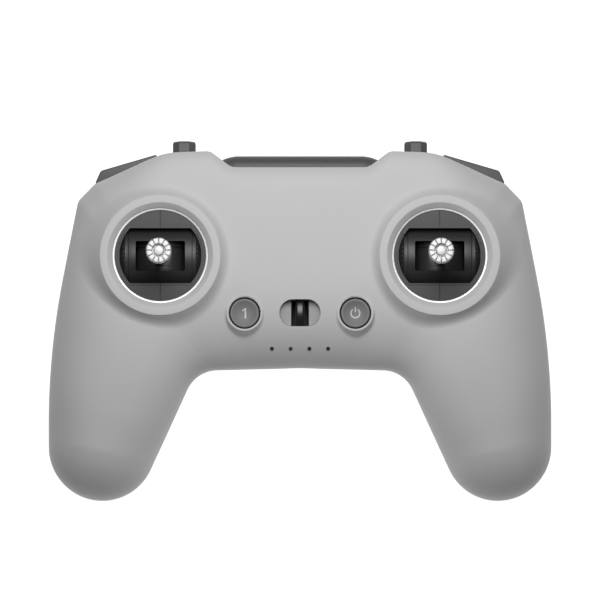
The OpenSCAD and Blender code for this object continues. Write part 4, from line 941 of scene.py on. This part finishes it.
# %% Antenna flap
hinge = pivots["antenna_flap_fold"]
FLAP_HALF, FLAP_LONG, FLAP_THICK, FLAP_BEND = 21.8, 32, 6.65, 8
FLAP_WIDE, FLAP_BARREL = 52.4, 3.8
foot_y, bend_y = hinge.y - FLAP_LONG, hinge.y - FLAP_BEND + 1
side_line = rounded([(foot_y, 0), (hinge.y + 0.85, 0), (hinge.y + 0.85, 7), (hinge.y + 3.1, hinge.z - 1.5),
                     (hinge.y, hinge.z), (hinge.y - 3.8, hinge.z - 3.4), (bend_y - 1, FLAP_THICK),
                     (foot_y, FLAP_THICK)], [1.2, 6.8, 0.5, 0.2, 0, 0.5, 4, 2], 8, closed=True)
flap = prism(side_line, -FLAP_HALF, FLAP_HALF)
ON_SIDE = Matrix(((0, 0, 1, 0), (1, 0, 0, 0), (0, 1, 0, 0), (0, 0, 0, 1)))
bmesh.ops.transform(flap, matrix=ON_SIDE, verts=flap.verts)
trim_line = rounded([(-FLAP_HALF, hinge.y + 5), (-FLAP_HALF, foot_y), (FLAP_HALF, foot_y),
                     (FLAP_HALF, hinge.y + 5)], [0, 5, 5, 0], 10, closed=True)
flap = combine(flap, "INTERSECT", [prism(trim_line, -1, 20)])
half, flat = FLAP_WIDE / 2, 21.5
barrel_line = rounded([(0, -half), (2.4, -half), (3.3, -(half + flat) / 2), (FLAP_BARREL, -flat),
                       (FLAP_BARREL, flat), (3.3, (half + flat) / 2), (2.4, half), (0, half)],
                      [0.6, 6, 8, 8, 6, 0.6], 8)
flap = combine(flap, "UNION", [turned(barrel_line, hinge, "X")])
flap = combine(flap, "DIFFERENCE", [rod(1.25, 8, (sign * half, *hinge.yz), "X", 32) for sign in (-1, 1)])
finish_piece(flap, "aerial_flap", GRAPHITE_ABS, "antenna_flap", "antenna_flap")

# %% [markdown]
# The rear half is carried onto the same sections. First, shapes are joined on: posts for the screws, cheeks
# for the toggles, and the ears of the flap's hinge with a web between them.

# %% Rear half
SCREWS = [(29.1, 35.0), (29.95, -4.7), (63.6, -33.9)]
HEAD_HIGH = 1.8
RUN_GAP = 0.35
EAR_IN, EAR_THICK = FLAP_WIDE / 2 + RUN_GAP, 3
toggle_spot = pivots["right_toggle_tip"]
rear = shell_half(False, [])[0]
screw_verts = [vert.co / MM for vert in frame["nodes"]["shell_screws"].data.vertices]
screw_heads = [(sign * x, y, min(v.z for v in screw_verts if (v.xy - Vector((sign * x, y))).length < 4))
               for x, y in SCREWS for sign in (-1, 1)]
posts = [rod(3.4, 8, (x, y, low + 1)) for x, y, low in screw_heads]
cheeks = [slab((2, 12, 14), (sign * toggle_spot.x + edge * 5.1, SHOULDER_Y - 7, toggle_spot.z))
          for sign in (-1, 1) for edge in (-1, 1)]
ears = [combine(rod(2.6, EAR_THICK, (ear_x, *hinge.yz), "X"), "UNION",
                [slab((EAR_THICK, 7.5, 7.5), (ear_x, hinge.y - 3.75, hinge.z + 2.25), 0.3)])
        for ear_x in (-EAR_IN - EAR_THICK / 2, EAR_IN + EAR_THICK / 2)]
web = slab((2 * EAR_IN + EAR_THICK, 3.5, 5.4), (0, hinge.y - 5.8, hinge.z + 3.6))
rear = combine(rear, "UNION", [*posts, *cheeks, *ears, web])
print("rear half joined:", len(rear.faces), "faces")

# %% [markdown]
# The cuts are those a hand meets: sunk screw holes, the slots of the toggles, the bumpers and the dial, the
# trough of the flap's barrel, and the mouths of the socket and of the two storage bores between the grips.
# They are grown past the pieces that move in them by the running gap of the frame, and the room of a bumper
# is cut at rest, half pressed and pressed.

# %% Cuts of the rear half
BUMPER_PRESS = math.radians(3.5)
SLEEVE_X, SLEEVE_Z, SLEEVE_R = 14, 19, 3.42
PORT_WIDE, PORT_HIGH = 9.64, 3.96
SINK_R, SINK_DEEP = 2.5, 14
dial_slot = slab((5.7, 2 * DIAL_R + 1.4, 12), (*dial_spot.xy, BACK_Z), 0.4)
cuts = [rod(SINK_R, SINK_DEEP, (x, y, low + HEAD_HIGH - SINK_DEEP / 2)) for x, y, low in screw_heads]
toggle_slot = Vector((TOGGLE_WIDE, 8, 2 * BARREL_R)) + 2 * RUN_GAP * Vector((1, 0, 1))
for sign in (-1, 1):
    cuts.append(slab(toggle_slot, (sign * toggle_spot.x, SHOULDER_Y, toggle_spot.z), 0.5))
    for press in (0, BUMPER_PRESS / 2, BUMPER_PRESS):
        room = prism(bumper_outline(RUN_GAP), bumper_low.z - RUN_GAP, bumper_high.z + RUN_GAP)
        bmesh.ops.rotate(room, cent=bumper_pin, matrix=Matrix.Rotation(-press, 3, "Z"), verts=room.verts)
        bmesh.ops.scale(room, vec=(sign, 1, 1), verts=room.verts)
        face_out(room)
        cuts.append(room)
    cuts.append(rod(SLEEVE_R, 8, (sign * SLEEVE_X, CROTCH_Y + 2, SLEEVE_Z), "Y"))
cuts += [rod(FLAP_BARREL + RUN_GAP, 2 * EAR_IN, hinge, "X", 96), dial_slot]
port_low, port_high = node_box("usb_shell")
mouth = prism(stadium(PORT_WIDE, PORT_HIGH), -3, 3)
cuts.append(set_at(mouth, (0, CROTCH_Y + 2, (port_low.z + port_high.z) / 2), "Y"))
rear = combine(rear, "DIFFERENCE", cuts)
finish_piece(rear, "rear_housing", PALE_ABS, "body", "rear_shell")

# %% [markdown]
# The shell screws have round heads with a six-sided socket, and they are sunk at the back. Each is a piece of
# its own, and the first stands for the frame's node of all six.

# %% Shell screws
head_profile = rounded([(0, 0), (2.3, 0), (2.3, HEAD_HIGH), (1.18, HEAD_HIGH), (1.18, 10), (0, 10.4)],
                       [0.6, 0.1, 0, 0.3], 4)
for i, (x, y, low) in enumerate(screw_heads):
    screw = turned(head_profile, (x, y, low), steps=48)
    screw = combine(screw, "DIFFERENCE", [rod(1.15, 2, (x, y, low), steps=6)])
    finish_piece(screw, f"shell_screw_{i + 1}", DRAWN_STEEL, "body", None if i else "shell_screws")

# %% [markdown]
# The parts inside keep the shapes of the frame. They get the finishes of what they are: steel pins, green
# boards, black switches, a wrapped battery. A warm resin stands for the lamps' tiny light sources.

# %% Parts inside
LED_RESIN = moulded_plastic("cast_phosphor_resin", "#E9E4C8", "#E2DBB8", 0.3, 0.002, 0.4)
INSIDE = [
    (DRAWN_STEEL, ["left_rocker_pin", "right_rocker_pin", "gimbal_screws", "toggle_pins", "bumper_pins",
                   "dial_axle", "flap_pins", "board_screws", "usb_shell"]),
    (MAGNET_NICKEL, ["left_magnet", "right_magnet"]),
    (BOARD_RESIN, ["sensor_boards", "main_board"]),
    (BLACK_ACETAL, ["tact_switches", "toggle_switches", "bumper_switches", "buzzer", "usb_tongue"]),
    (GRAPHITE_ABS, ["left_gimbal_frame", "right_gimbal_frame", "stick_sleeves"]),
    (BATTERY_WRAP, ["battery_pack"]),
    (LED_RESIN, ["status_leds"])]
for material, names in INSIDE:
    for name in names:
        for place in frame["nodes"][name].material_slots:
            place.material = material
print("parts inside:", sum(len(names) for material, names in INSIDE))

# %% [markdown]
# The picture has a white ground and soft light from a large box overhead, a little towards the shoulders, so
# faces that fall away from it turn a shade darker. The floor is a lit opal table, as used for catalogue
# pictures: it glows round the object, which whitens the ground and gives the thin light rim along the sides.
# The table and the light are given in metres.

# %% Floor and light
opal, tree, skin, place = start_material("lit_opal_acrylic_table", Roughness=0.7)
cloud(tree, skin, place, "#7A7A7A", "#747474", 60, 1.0)
skin.inputs["Emission Color"].default_value = linear("#FFFFFF")
away = add(tree, "ShaderNodeVectorMath", {"operation": "LENGTH"}, {0: place})
glow = add(tree, "ShaderNodeMapRange",
           {"interpolation_type": "SMOOTHSTEP", "From Min": 150 * MM, "From Max": 220 * MM, "To Min": 1.0,
            "To Max": 0.1}, {"Value": away.outputs["Value"]})
tree.links.new(glow.outputs["Result"], skin.inputs["Emission Strength"])
table = bmesh.new()
bmesh.ops.create_grid(table, x_segments=2, y_segments=2, size=2.5)
bmesh.ops.translate(table, vec=(0, 0, -0.3 * MM), verts=table.verts)
floor = mesh_object(table, "studio_floor")
floor.data.materials.append(opal)
box = bpy.data.lights.new("key_box", "AREA")
box.shape, box.size, box.energy = "SQUARE", 0.2, 1.16
key = bpy.data.objects.new("key_box", box)
key.location = (0, 0.14, 0.38)
key.rotation_euler = (Vector((0, 0, 0.03)) - key.location).to_track_quat("-Z", "Y").to_euler()
scene.collection.objects.link(key)
world = bpy.data.worlds.new("studio_air")
world.use_nodes = True
air = world.node_tree.nodes["Background"].inputs
air["Color"].default_value, air["Strength"].default_value = linear("#FFFFFF"), 0.12
scene.world = world
scene.view_settings.view_transform = "Standard"
print("lights:", len(bpy.data.lights))
